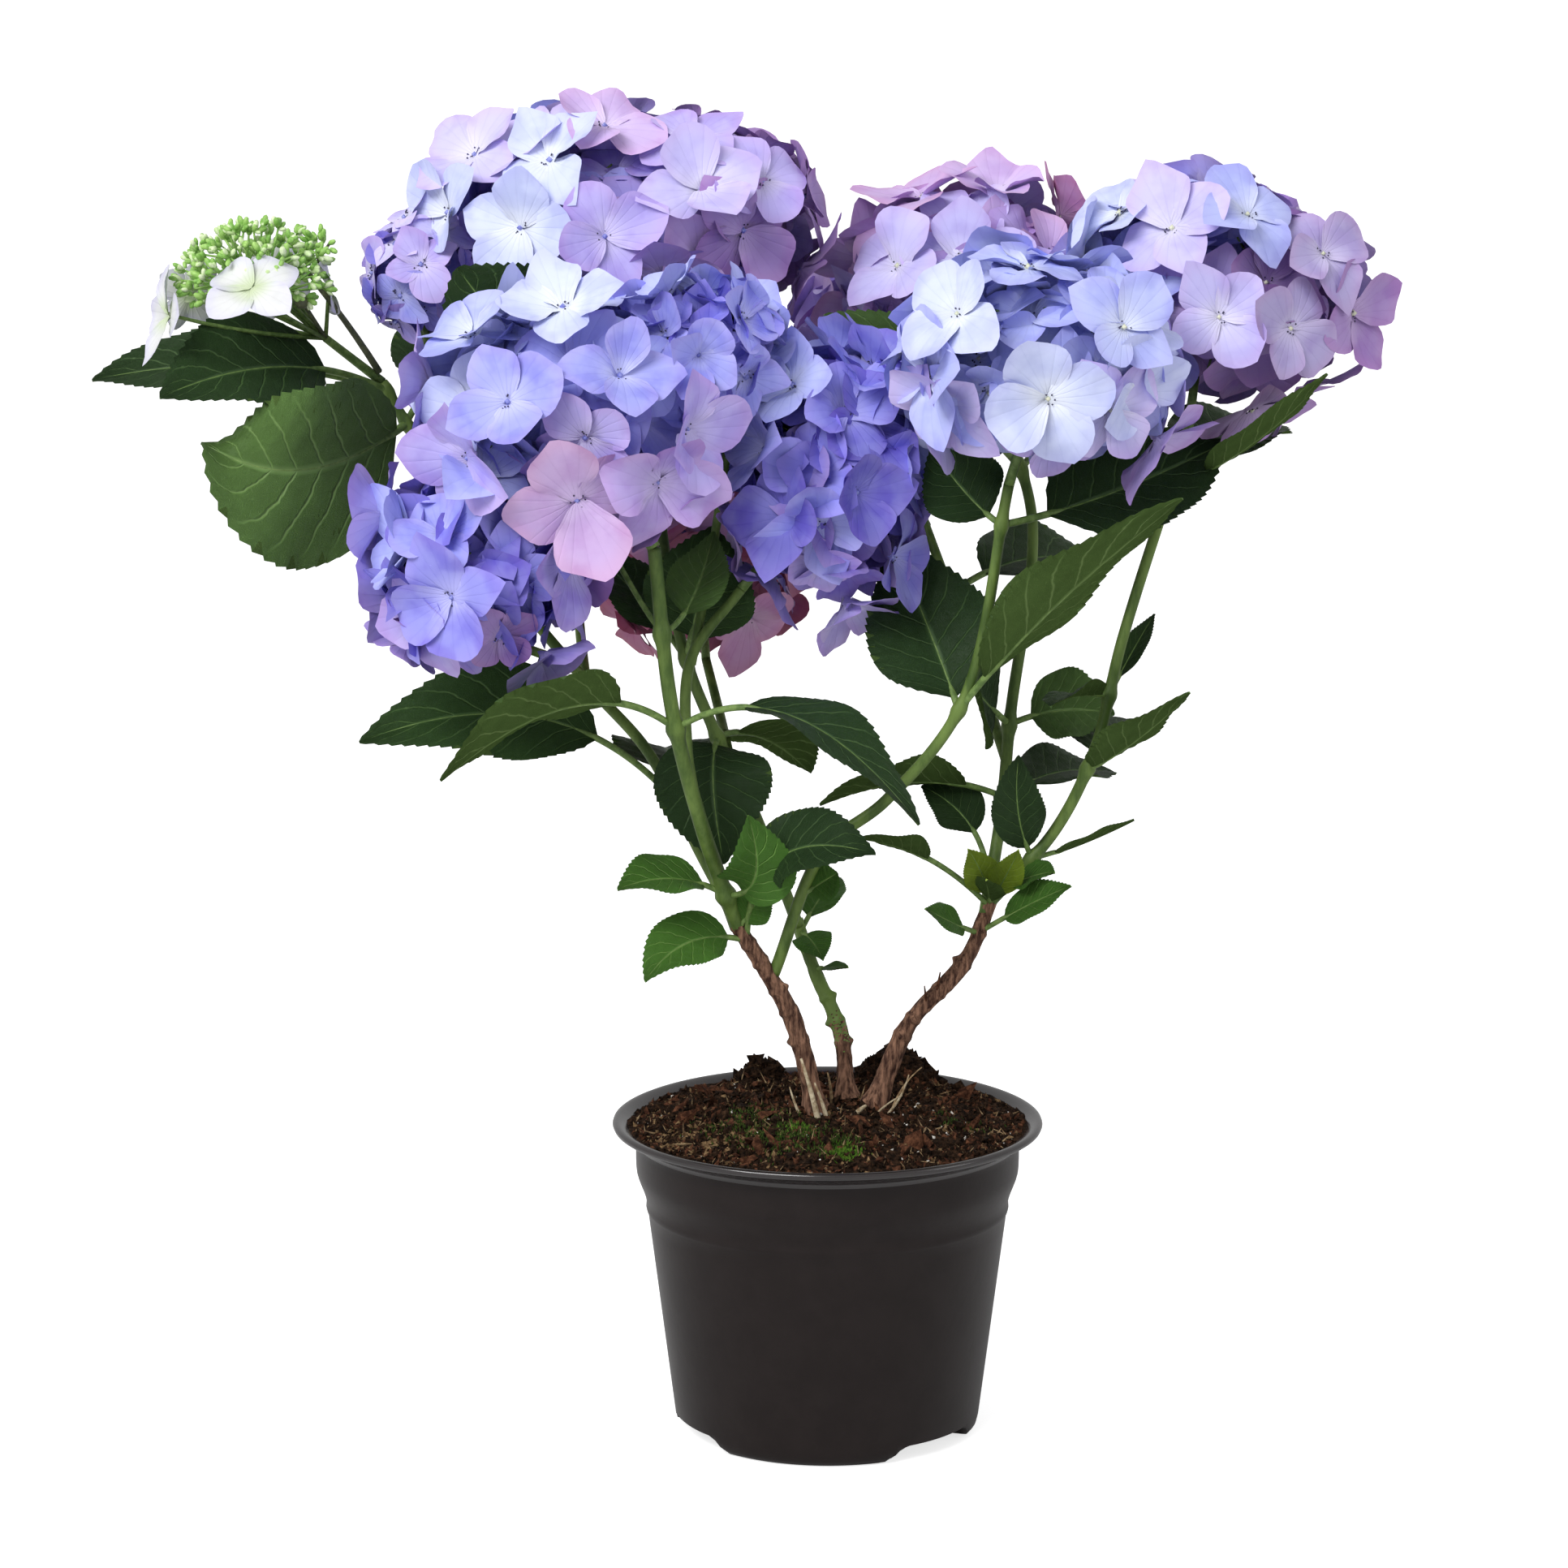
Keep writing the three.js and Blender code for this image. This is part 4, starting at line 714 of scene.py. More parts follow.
# %% Leaf tints: each by its blade and veins
LEAVES = {
    "dark": ((47, 74, 38), (96, 124, 75)),
    "deep": ((52, 83, 38), (102, 132, 76)),
    "middling": ((96, 131, 66), (136, 164, 102)),
    "fresh": ((88, 140, 54), (146, 182, 100)),
    "sprout": ((150, 180, 52), (184, 206, 104)),
}
UNDERSIDE = ((88, 114, 60), (126, 148, 94))
for name, (upper, vein) in LEAVES.items():
    values = {"Blade": colour(*upper), "Vein": colour(*vein), "Strength": 0.4}
    finish("leaf_" + name, leaf_tree, values, roughness=0.46, bump=0.6, specular=0.2)
values = {"Blade": colour(*UNDERSIDE[0]), "Vein": colour(*UNDERSIDE[1]), "Strength": 0.5}
finish("leaf_underside", leaf_tree, values, roughness=0.7, bump=-0.6, specular=0.0)
print(len(LEAVES) + 1, "leaf tints")

# %% Grained finishes: dark and light tint, roughness, bump, grain size, specular, stretch
GRAINS = {
    "leaf_rib": ((86, 112, 56), (120, 146, 80), 0.5, 0.1, 300.0, 0.3, 1),
    "green_bark": ((66, 90, 37), (108, 132, 64), 0.5, 0.15, 90.0, 0.3, 0.3),
    "brown_bark": ((56, 34, 27), (152, 114, 92), 0.85, 0.5, 560.0, 0.2, 0.16),
    "straw": ((140, 116, 84), (208, 194, 164), 0.8, 0.3, 300.0, 0.5, 1),
    "black_plastic": ((28, 21, 20), (32, 25, 24), 0.34, 0.03, 60.0, 0.22, 1),
    "lip_plastic": ((28, 22, 22), (34, 27, 27), 0.2, 0.03, 60.0, 0.8, 1),
    "peat": ((16, 10, 7), (68, 48, 34), 0.95, 1.0, 420.0, 0.1, 1),
    "peat_red": ((50, 28, 19), (108, 70, 50), 0.9, 0.5, 420.0, 0.1, 1),
    "peat_tan": ((88, 66, 44), (150, 122, 88), 0.9, 0.5, 420.0, 0.1, 1),
    "fibre": ((110, 84, 56), (176, 150, 112), 0.9, 0.3, 300.0, 0.5, 1),
    "white_grit": ((196, 190, 180), (238, 234, 228), 0.8, 0.2, 500.0, 0.5, 1),
    "moss": ((32, 48, 18), (78, 98, 42), 0.8, 0.2, 400.0, 0.1, 1),
    "moss_bright": ((54, 88, 22), (106, 146, 52), 0.8, 0.2, 400.0, 0.1, 1),
    "bud_green": ((118, 172, 72), (170, 212, 116), 0.5, 0.1, 200.0, 0.5, 1),
    "bud_pale": ((190, 220, 150), (230, 242, 204), 0.5, 0.1, 200.0, 0.5, 1),
    "eye_cream": ((214, 220, 190), (240, 240, 214), 0.5, 0.1, 400.0, 0.5, 1),
    "eye_blue": ((110, 116, 200), (170, 176, 236), 0.5, 0.1, 400.0, 0.5, 1),
    "anther": ((40, 38, 66), (66, 62, 92), 0.6, 0.1, 400.0, 0.5, 1),
    "dusk_twig": ((74, 80, 58), (104, 108, 76), 0.6, 0.1, 300.0, 0.5, 1),
}
for name, (dark, light, roughness, bump, size, specular, upward) in GRAINS.items():
    values = {"Dark": colour(*dark), "Light": colour(*light), "Size": size}
    finish(name, grain_tree, values, roughness, bump, specular, by_map=False, stretch=(1, 1, upward))
print(len(GRAINS), "grained finishes")

# %% [markdown]
# ## The limbs' centre lines
# A limb runs smoothly through the few points of its route. A Bezier or B-spline would pass beside
# them, so this is the centripetal Catmull-Rom curve of the solids, which meets every point and never
# loops. It is sampled at equal distances, so that a share of the length is a place on the limb.

# %% Curves through the routes
STRETCH_STEPS = 40
LINE_STEPS = 240


def centre_line(route):
    """Equal steps along the centripetal Catmull-Rom curve: between two points it is the cubic whose
    end slopes come from the neighbours, weighted by the square roots of the distances."""
    spots = np.array(route, dtype=float)
    spots = np.vstack([2 * spots[0] - spots[1], spots, 2 * spots[-1] - spots[-2]])
    gaps = np.sqrt(np.linalg.norm(np.diff(spots, axis=0), axis=1))
    share = np.linspace(0, 1, STRETCH_STEPS)[:, None]
    stretches = []
    for n in range(1, len(spots) - 2):
        p0, p1, p2, p3 = spots[n - 1:n + 3]
        d0, d1, d2 = gaps[n - 1:n + 2]
        leave = d1 * ((p1 - p0) / d0 - (p2 - p0) / (d0 + d1) + (p2 - p1) / d1)
        arrive = d1 * ((p2 - p1) / d1 - (p3 - p1) / (d1 + d2) + (p3 - p2) / d2)
        stretches.append(p1 + leave * share + (3 * (p2 - p1) - 2 * leave - arrive) * share ** 2
                         + (2 * (p1 - p2) + leave + arrive) * share ** 3)
    line = np.concatenate(stretches)
    walked = np.concatenate([[0], np.cumsum(np.linalg.norm(np.diff(line, axis=0), axis=1))])
    even = np.linspace(0, walked[-1], LINE_STEPS + 1)
    return np.stack([np.interp(even, walked, line[:, axis]) for axis in range(3)], axis=1)


LIMBS = {**WOODY_STEMS, **SHOOTS}
LINES = {name: centre_line(route) for name, (_, _, route) in LIMBS.items()}


def length_of(name):
    """The limb's length."""
    return np.linalg.norm(np.diff(LINES[name], axis=0), axis=1).sum()


def spot_on(name, share):
    """The place at a share of a limb's length."""
    places = np.linspace(0, 1, LINE_STEPS + 1)
    return np.stack([np.interp(share, places, LINES[name][:, axis]) for axis in range(3)], axis=-1)


print("longest limb:", round(max(length_of(name) for name in LIMBS)), "mm")

# %% [markdown]
# ## Tubes
# Stems, stalks and twigs are all tubes round a line. A curve object with a bevel would make them
# too, but then bark relief and swollen joints couldn't be written as a formula of the angle
# round and the share along, which a grid of points can.

# %% A tube round a line


def tube(line, radius, sides):
    """Rings round a line: the centre plus radius times (right cos a + over sin a), where right is
    square to the line and to a fixed axis that the line never follows."""
    along = unit(np.gradient(line, axis=0))
    axis = np.eye(3)[np.argmin(np.abs(along).max(axis=0))]
    right = unit(np.cross(axis, along))
    over = np.cross(along, right)
    angle = np.linspace(0, 2 * math.pi, sides, endpoint=False)[None, :, None]
    radius = np.asarray(radius, dtype=float)
    radius = radius.reshape(radius.shape + (1,) * (3 - radius.ndim))
    ring = right[:, None] * np.cos(-angle) + over[:, None] * np.sin(-angle)
    return (line[:, None] + radius * ring)[None]


def between(start, end, steps, bend=(0, 0, 0)):
    """Points on the quadratic Bezier whose middle is carried aside by the bend."""
    start, end = np.array(start, dtype=float), np.array(end, dtype=float)
    share = np.linspace(0, 1, steps)[:, None]
    middle = (start + end) / 2 + np.array(bend, dtype=float)
    return (1 - share) ** 2 * start + 2 * share * (1 - share) * middle + share ** 2 * end


def add_twig(piece, look, start, end, thick, thin, steps, sides, bend=(0, 0, 0)):
    """A tube along the bent line from start to end, whose radius goes evenly from thick to thin."""
    line = between(start, end, steps, bend)
    piece.grids(tube(line, np.linspace(thick, thin, steps), sides), piece.finish(look), around=True)


print("a tube's grid:", tube(between((0, 0, 0), (0, 0, 9), 4), 1.0, 6).shape)

# %% [markdown]
# ## The pot
# A nursery pot is moulded thin plastic: a rolled rim, a collar that lets pots stack, a tapered wall
# and a foot with three arched notches that let water out. Spinning a profile gives all but the
# notches, and cutting those with a boolean would leave ragged shading, so the profile's height is
# lifted by a smooth arch where a notch is, and dimpled where a drain hole is. The inside ends in a
# flat lid under the soil, where nothing shows.

# %% Pot sizes and profile: rows of radius and height, from the underside up and in
COLLAR_RADIUS = 86.0
BODY_TOP_RADIUS = 80.6
BODY_LOW_RADIUS = 68.6
FOOT_RADIUS = 64.0
FOOT_ROUNDING = 6.0
BODY_HEIGHT = 94.0
NOTCH_ANGLES = np.radians([-43, 80, 204])
NOTCH_HALF_ANGLE = 0.46
NOTCH_HEIGHT = 7.4
NOTCH_INNER_WALL = (48, 51)
DRAIN_RING = 40.0
DRAIN_RADIUS = 4.5
DRAIN_DEPTH = 5.0
DRAINS = 6

WALL_ROWS = [(BODY_LOW_RADIUS - 2.6, 0.8), (BODY_LOW_RADIUS - 0.8, 2.8), (BODY_LOW_RADIUS, FOOT_ROUNDING)]
BODY_FLARE = BODY_TOP_RADIUS - BODY_LOW_RADIUS
WALL_ROWS += [(BODY_LOW_RADIUS + BODY_FLARE * share, FOOT_ROUNDING + BODY_HEIGHT * share)
              for share in np.linspace(0.03, 1, 18)]
COLLAR_ROWS = [(81.2, 101), (81.5, 102.2), (81.4, 103.4), (81.3, 105), (81.8, 107.5), (82.8, 110.5),
               (84, 113.5), (85, 116.2), (85.6, 118.4), (85.9, 121), (COLLAR_RADIUS, 125),
               (COLLAR_RADIUS, 130)]
RIM_ROWS = [(86.1, 132.6), (86.8, 134.4), (88.8, 136), (91.6, 137.2), (94.4, 138.2), (95.9, 139.2),
            (96.4, 140.4), (96, 141.5), (94.9, 142), (93.4, 141.8), (91.6, 141), (89.6, 139.8),
            (87.6, 138), (86, 135.4)]
INSIDE_ROWS = [(84.4, 131), (84, 124), (82.6, 115), (80, 110), (60, 108), (0.01, 108)]
UNDER_RADII = (0.01, 12, 24, 32, 34.4, 35.6, 37, 38.5, 40, 41.5, 43, 44.4, 45.6, 47.2, 48.6, 50, 51.4,
               55, 60, FOOT_RADIUS)
UNDER_ROWS = [(radius, 0) for radius in UNDER_RADII]
print("profile rows:", len(UNDER_ROWS + WALL_ROWS + COLLAR_ROWS + RIM_ROWS + INSIDE_ROWS))

# %% The pot's surface
AROUND = 192


def pot_surface():
    """Each profile row (r, z) spun round the axis. A notch lifts z to an arch of its angle wherever
    r is past the notch's inner wall, and a drain hole lifts the underside inside its circle."""
    profile = np.array(UNDER_ROWS + WALL_ROWS + COLLAR_ROWS + RIM_ROWS + INSIDE_ROWS)
    angle = np.linspace(0, 2 * math.pi, AROUND, endpoint=False)
    radius = np.repeat(profile[:, :1], AROUND, axis=1)
    height = np.repeat(profile[:, 1:], AROUND, axis=1)
    away = np.abs((angle[:, None] - NOTCH_ANGLES + math.pi) % (2 * math.pi) - math.pi).min(axis=1)
    arch = NOTCH_HEIGHT * (1 - smooth(away / NOTCH_HALF_ANGLE, 0.58, 1.0))
    outer = np.arange(len(profile)) < len(UNDER_ROWS) + len(WALL_ROWS)
    lift = arch[None] * smooth(radius, *NOTCH_INNER_WALL) * outer[:, None]
    height = np.maximum(height, lift)
    x, y = radius * np.cos(angle), radius * np.sin(angle)
    holes = (np.arange(DRAINS) + 0.5) * 2 * math.pi / DRAINS
    holes_x, holes_y = DRAIN_RING * np.cos(holes), DRAIN_RING * np.sin(holes)
    far = np.hypot(x[..., None] - holes_x, y[..., None] - holes_y).min(axis=-1)
    under = np.arange(len(profile)) < len(UNDER_ROWS)
    dimple = 1 - smooth(far, DRAIN_RADIUS - 0.8, DRAIN_RADIUS + 0.4)
    height = height + DRAIN_DEPTH * dimple * under[:, None]
    return np.stack([x, y, height], axis=-1)[None, :, ::-1]


pot = Gathering("pot_shell")
grid = pot_surface()
lip = grid[0, :-1, 0, 2] > COLLAR_ROWS[-1][1]
slots = np.where(lip[:, None], pot.finish("lip_plastic"), pot.finish("black_plastic"))
pot.grids(grid, slots[None], around=True)
pot.make("pot_plastic", "pot", sharp=50)

# %% [markdown]
# ## Soil
# Peat-based potting soil is a heap of crumbs, bark chips, fibres and white grit. A bumpy disc alone
# looks like rubber, so the disc only carries thousands of loose scraps, each a squashed and turned
# eight-sided crumb. They come from a seeded generator, in whole arrays, and moss grows in patches.

# %% The soil's top: each mound by its place, height and spread, lumps by height, size and seed
SOIL_AT_WALL = 139.6
SOIL_EDGE = 90.4
SOIL_PAD_HEIGHT = 148.0
SOIL_PAD_RADIUS = 32.0
SOIL_UNDERSIDE = 128.0
MOUNDS = [(33, 52, 15, 240), (-31, 66, 10, 80)]
LUMPS = [(2.2, 17, 3), (1.5, 7, 4), (0.9, 3.2, 5)]
STEMS_MIDDLE = 8.0


def soil_height(x, y):
    """Just below the rim at the edge, rising by a smooth step to the stems, with two mounds at the
    back and three sizes of lumps, all of them lower at the edge and between the stems."""
    out = np.hypot(x, y)
    climb = 1 - smooth(out, SOIL_PAD_RADIUS, SOIL_EDGE)
    mounds = sum(high * np.exp(-((x - mound_x) ** 2 + (y - mound_y) ** 2) / spread)
                 for mound_x, mound_y, high, spread in MOUNDS)
    spots = np.stack([x, y, np.zeros_like(x)], axis=-1)
    lumps = sum(high * cloudy(spots, size, seed) for high, size, seed in LUMPS)
    from_stems = np.hypot(x - STEMS_MIDDLE, y)
    calm = (0.35 + 0.65 * smooth(from_stems, 18, 34)) * (1 - 0.75 * smooth(out, 76, 88))
    return SOIL_AT_WALL + (SOIL_PAD_HEIGHT - SOIL_AT_WALL) * climb + calm * (lumps + mounds)


def soil_surface():
    """A disc of rings out to the pot's flare at the soil's height, closed below by a flat lid."""
    radius = np.concatenate([[0.01], np.linspace(1.5, SOIL_EDGE, 60)])
    angle = np.linspace(0, 2 * math.pi, 150, endpoint=False)
    x, y = radius[:, None] * np.cos(angle), radius[:, None] * np.sin(angle)
    top = np.stack([x, y, soil_height(x, y)], axis=-1)
    low = np.stack([0.9 * x[-1], 0.9 * y[-1], np.full_like(angle, SOIL_UNDERSIDE)], axis=-1)[None]
    return np.concatenate([top, low, low * (0.001, 0.001, 1)])[None]


soil = Gathering("soil_top")
soil.grids(soil_surface(), soil.finish("peat"), around=True)
soil.make("potting_soil", "soil")

# %% Eight-sided scraps
OCTAHEDRON = np.array([(1, 0, 0), (0, 1, 0), (-1, 0, 0), (0, -1, 0), (0, 0, 1), (0, 0, -1)], dtype=float)
OCTAHEDRON_FACES = np.array([(0, 1, 4), (1, 2, 4), (2, 3, 4), (3, 0, 4),
                             (1, 0, 5), (2, 1, 5), (3, 2, 5), (0, 3, 5)])


def add_scraps(piece, scraps, look):
    """Adds octahedra, each given by its six corners, in one finish."""
    many = len(scraps)
    numbers = piece.count + 6 * np.arange(many)[:, None, None] + OCTAHEDRON_FACES
    piece.faces(numbers, 3, np.zeros((many, 8, 3, 2)), piece.finish(look))
    piece.points.append(scraps.reshape(-1, 3))
    piece.count += 6 * many


print("one scrap has", len(OCTAHEDRON_FACES), "faces")

# %% Crumbs, chips, fibres and grit: finish, number, size, its three sides, patch by place and reach
SCRAPS = [
    ("peat", 4400, 1.4, (1, 0.8, 0.7), (0, 0, 88.5)),
    ("peat_red", 1500, 1.4, (1.2, 0.8, 0.5), (0, 0, 88)),
    ("peat_tan", 620, 1.2, (1.2, 0.8, 0.6), (0, 0, 88)),
    ("peat_tan", 220, 1.4, (1.2, 0.8, 0.6), (-52, -36, 24)),
    ("peat", 240, 3.0, (1, 0.8, 0.6), (0, 0, 80)),
    ("peat_red", 80, 3.8, (1.5, 0.7, 0.35), (0, 0, 76)),
    ("fibre", 460, 1.4, (2.2, 0.25, 0.2), (0, 0, 86)),
    ("white_grit", 170, 0.7, (1, 0.9, 0.8), (0, 0, 87)),
    ("white_grit", 60, 0.8, (1, 0.9, 0.8), (40, -22, 26)),
    ("peat", 230, 3.6, (1, 0.9, 0.8), (32, 53, 17)),
    ("peat_red", 60, 2.2, (1, 0.9, 0.8), (32, 53, 17)),
    ("peat", 110, 3.0, (1, 0.9, 0.8), (-31, 66, 10)),
]
draw = np.random.default_rng(342)


def random_turns(many):
    """Rotation matrices from random quaternions."""
    w, x, y, z = unit(draw.normal(size=(many, 4))).T
    turns = np.array([[1 - 2 * (y * y + z * z), 2 * (x * y - w * z), 2 * (x * z + w * y)],
                      [2 * (x * y + w * z), 1 - 2 * (x * x + z * z), 2 * (y * z - w * x)],
                      [2 * (x * z - w * y), 2 * (y * z + w * x), 1 - 2 * (x * x + y * y)]])
    return turns.transpose(2, 0, 1)


def scatter(piece, look, many, size, sides, patch):
    """Squashed, turned octahedra of about that size on the soil inside a round patch. `sides` is how
    long, wide and thick they are for their size."""
    x, y, reach = patch
    angle = draw.uniform(0, 2 * math.pi, many)
    out = reach * np.sqrt(draw.uniform(0, 1, many))
    spots_x, spots_y = x + out * np.cos(angle), y + out * np.sin(angle)
    scale = size * draw.uniform(0.5, 1.5, (many, 1)) * np.array(sides) * draw.uniform(0.7, 1.3, (many, 3))
    jitter = draw.uniform(0.7, 1.3, (many, 6, 1))
    crumbs = (OCTAHEDRON * jitter * scale[:, None]) @ random_turns(many)
    level = soil_height(spots_x, spots_y) + draw.uniform(-0.3, 0.6, many) * size
    crumbs += np.stack([spots_x, spots_y, level], axis=-1)[:, None]
    add_scraps(piece, crumbs, look)


crumbs = Gathering("soil_crumbs")
for scraps in SCRAPS:
    scatter(crumbs, *scraps)
crumbs.make("potting_soil", sharp=35)

# %% Moss: place, reach, number and finish of each patch
MOSS_PATCHES = [
    (-42, -26, 18, 480, "moss"), (-20, -46, 22, 760, "moss"), (0, -58, 14, 300, "moss"),
    (6, -66, 7, 260, "moss_bright"), (-14, -38, 9, 110, "moss_bright"), (58, -18, 11, 110, "moss"),
]
MOSS_EDGE = 86


def moss_tufts(piece, x, y, reach, many, look):
    """Short upright blades, each a thin turned crumb, thickest in the middle of a patch."""
    spots = draw.normal(0, reach * 0.5, (many, 2)) + (x, y)
    spots = spots[np.hypot(*spots.T) < MOSS_EDGE]
    many = len(spots)
    lean = unit(np.stack([*draw.normal(0, 0.35, (2, many)), np.ones(many)], axis=-1))
    tall = draw.uniform(0.8, 2.4, (many, 1, 1))
    blades = OCTAHEDRON * (0.4, 0.4, 0) + OCTAHEDRON[:, 2:] * lean[:, None] * tall
    blades += np.stack([*spots.T, soil_height(*spots.T) + 0.5], axis=-1)[:, None]
    add_scraps(piece, blades, look)


moss = Gathering("soil_moss")
for patch in MOSS_PATCHES:
    moss_tufts(moss, *patch)
moss.make("potting_soil", sharp=35)

# %% [markdown]
# ## Woody stems
# Old hydrangea wood is reddish brown, ridged along its length, ringed at old leaf joints and warty
# with buds. Relief could be a texture only, but the outline against the white would stay smooth,
# so the radius itself carries the ridges, rings and warts, and the finish adds the finest grain.

# %% Bark: each scar by its share of the stem and angle, ridges by height, stretch and size
BUD_SCARS = {
    "woody_stem_left": [(0.35, 200), (0.62, 20), (0.78, 120), (0.5, 300), (0.88, 250)],
    "woody_stem_middle": [(0.3, 330), (0.55, 10), (0.42, 180)],
    "woody_stem_right": [(0.32, 100), (0.4, 85), (0.7, 190), (0.55, 300), (0.84, 60)],
}
RIDGES = [(0.38, 0.22, 2.4), (0.22, 0.5, 1.3), (0.3, 1, 9)]
BARK_SIDES = 44
BARK_RINGS = 150
BARK_SLENDER = 0.82
FOOT_FLARE = 2.6
FLARE_SHARE = 0.14
RING_HEIGHT = 0.5
RING_REACH = 1.3
WART_HEIGHT = 1.7
WART_REACH = 2.0
WART_TURN = 0.42


def bark_surface(name):
    """The tapered tube with a flared foot. To the radius are added: ridges, noise stretched along
    the stem; rings, a raised band at each scar's share; and warts, a bump at each scar's angle."""
    root, tip, _ = LIMBS[name]
    share = np.linspace(0, 1, BARK_RINGS)
    flare = FOOT_FLARE * np.maximum(0, 1 - share / FLARE_SHARE) ** 2
    taper = BARK_SLENDER * (root + (tip - root) * share) + flare
    angle = np.linspace(0, 2 * math.pi, BARK_SIDES, endpoint=False)
    reach = length_of(name)
    skin = np.broadcast_arrays(5 * np.cos(angle), 5 * np.sin(angle), share[:, None] * reach)
    skin = np.stack(skin, axis=-1)
    seed = len(name) + 3.7
    relief = sum(high * cloudy(skin * (1, 1, stretch), size, seed + which)
                 for which, (high, stretch, size) in enumerate(RIDGES))
    for mark, turn in BUD_SCARS[name]:
        along = (share[:, None] - mark) * reach
        aside = (angle - math.radians(turn) + math.pi) % (2 * math.pi) - math.pi
        relief = relief + RING_HEIGHT * np.exp(-(along / RING_REACH) ** 2)
        relief = relief + WART_HEIGHT * np.exp(-(along / WART_REACH) ** 2 - (aside / WART_TURN) ** 2)
    return tube(spot_on(name, share), taper[:, None] + relief, BARK_SIDES)


def greened(first, last):
    """Which faces of a stem are green: none below the first ring, all above the last, and between
    them a share by chance that grows by a smooth step, two faces across at a time."""
    rings, pairs = BARK_RINGS - 1, BARK_SIDES // 2
    dice = chance(5, np.arange(rings * pairs).reshape(rings, pairs)).repeat(2, axis=1)
    return dice < smooth(np.arange(rings), first, last)[:, None]


for name in WOODY_STEMS:
    wood = Gathering(name.replace("woody_stem", "bark"))
    finishes = wood.finish("brown_bark")
    if name == "woody_stem_middle":
        finishes = np.where(greened(34, 74), wood.finish("green_bark"), finishes)[None]
    wood.grids(bark_surface(name), finishes, around=True)
    wood.make("woody_bark", name)

# %% Dry stubs and peeling strips at the stems' feet: two ends, radius, bend and finish
STUBS = [
    ((-4, -23, 145), (-12, -22, 175), 1.6, (1, -2, 0), "straw"),
    ((0, -21, 145), (-6, -22, 164), 1.2, (1, -1, 0), "straw"),
    ((-11, -22, 146), (-17, -22, 162), 0.9, (-1, 0, 0), "straw"),
    ((24, -12, 144), (36, -16, 166), 0.8, (3, 0, -2), "straw"),
    ((28, -10, 146), (42, -10, 168), 0.7, (-3, 0, 3), "fibre"),
    ((18, -16, 144), (33, -22, 158), 0.7, (0, 0, 3), "straw"),
    ((2, 2, 146), (0, -4, 164), 1.0, (1, 0, 0), "fibre"),
    ((12, -16, 147), (17, -20, 153), 1.6, (0, 0, 1), "straw"),
    ((48, -6, 199), (50, -8, 211), 0.9, (0, 0, 0), "peat_red"),
    ((44, -6, 196), (43, -9, 205), 0.8, (0, 0, 0), "peat_red"),
]
stubs = Gathering("dry_stubs")
for start, end, thick, bend, look in STUBS:
    add_twig(stubs, look, start, end, thick, 0.35 * thick, 9, 7, bend)
stubs.make("woody_bark")

# %% [markdown]
# ## Green shoots
# A green shoot is smooth and round, and swells where each pair of leaves clasps it. The swelling is a
# small bell curve added to the radius at each pair's place, which no plain bevelled curve could give.

# %% Shoots with swollen joints
SHOOT_SLENDER = 0.9
SHOOT_SIDES = 14
SHOOT_RINGS = 110
JOINT_SWELL = 0.45
JOINT_REACH = 3.5


def shoot_surface(name):
    """A tapered tube whose radius swells by 45 percent at each joint, in a bell curve that has
    fallen to about a third 3.5 mm away."""
    root, tip, _ = LIMBS[name]
    share = np.linspace(0, 1, SHOOT_RINGS)
    radius = SHOOT_SLENDER * (root + (tip - root) * share)
    joints = [at for on, at, _ in LEAF_PAIRS.values() if on == name]
    for joint in joints:
        away = (share - joint) * length_of(name)
        radius = radius * (1 + JOINT_SWELL * np.exp(-(away / JOINT_REACH) ** 2))
    return tube(spot_on(name, share), radius, SHOOT_SIDES)


shoots = Gathering("green_shoots")
for name in SHOOTS:
    shoots.grids(shoot_surface(name), shoots.finish("green_bark"), around=True)
shoots.make("green_shoot", *SHOOTS)

# %% [markdown]
# ## Leaves
# A hydrangea leaf is a broad oval drawn out to a point, toothed all round, folded a little along its
# midrib and quilted between its side veins. Each leaf is one closed skin, upper side and underside,
# so that it has both its colours and a real thickness. Teeth are cut into the outline itself: every
# second row steps out and forward at the margin.

# %% One leaf
TEETH = 22
BLADE_ACROSS = np.array([-1, -0.82, -0.6, -0.36, -0.14, 0, 0.14, 0.36, 0.6, 0.82, 1])
BLADE_LOOP = np.concatenate([BLADE_ACROSS, BLADE_ACROSS[-2:0:-1]])
BLADE_ROWS = 2 * TEETH + 1
LEAF_THICKNESS = 1.1
LEAF_BELLY = 0.45
QUILT_HEIGHT = 1.5
LEAF_FOLD = 0.22
LEAF_WAVE = 0.09


def leaf_line(root, plan, share):
    """The leaf's middle line and its direction: a quadratic Bezier whose middle point lies 45
    percent of the way to the tip, carried aside by the bend."""
    root, tip = np.array(root, dtype=float), np.array(plan["tip"], dtype=float)
    middle = root + LEAF_BELLY * (tip - root) + np.array(plan["bend"], dtype=float)
    share = share[:, None]
    line = (1 - share) ** 2 * root + 2 * share * (1 - share) * middle + share ** 2 * tip
    slope = 2 * (1 - share) * (middle - root) + 2 * share * (tip - middle)
    return line, unit(slope)


def leaf_frame(plan, along):
    """The upward and sideways directions across a leaf: its face made square to the middle line."""
    face = np.array(plan["face"], dtype=float)
    upper = unit(face - (along @ face)[:, None] * along)
    return upper, np.cross(upper, along)


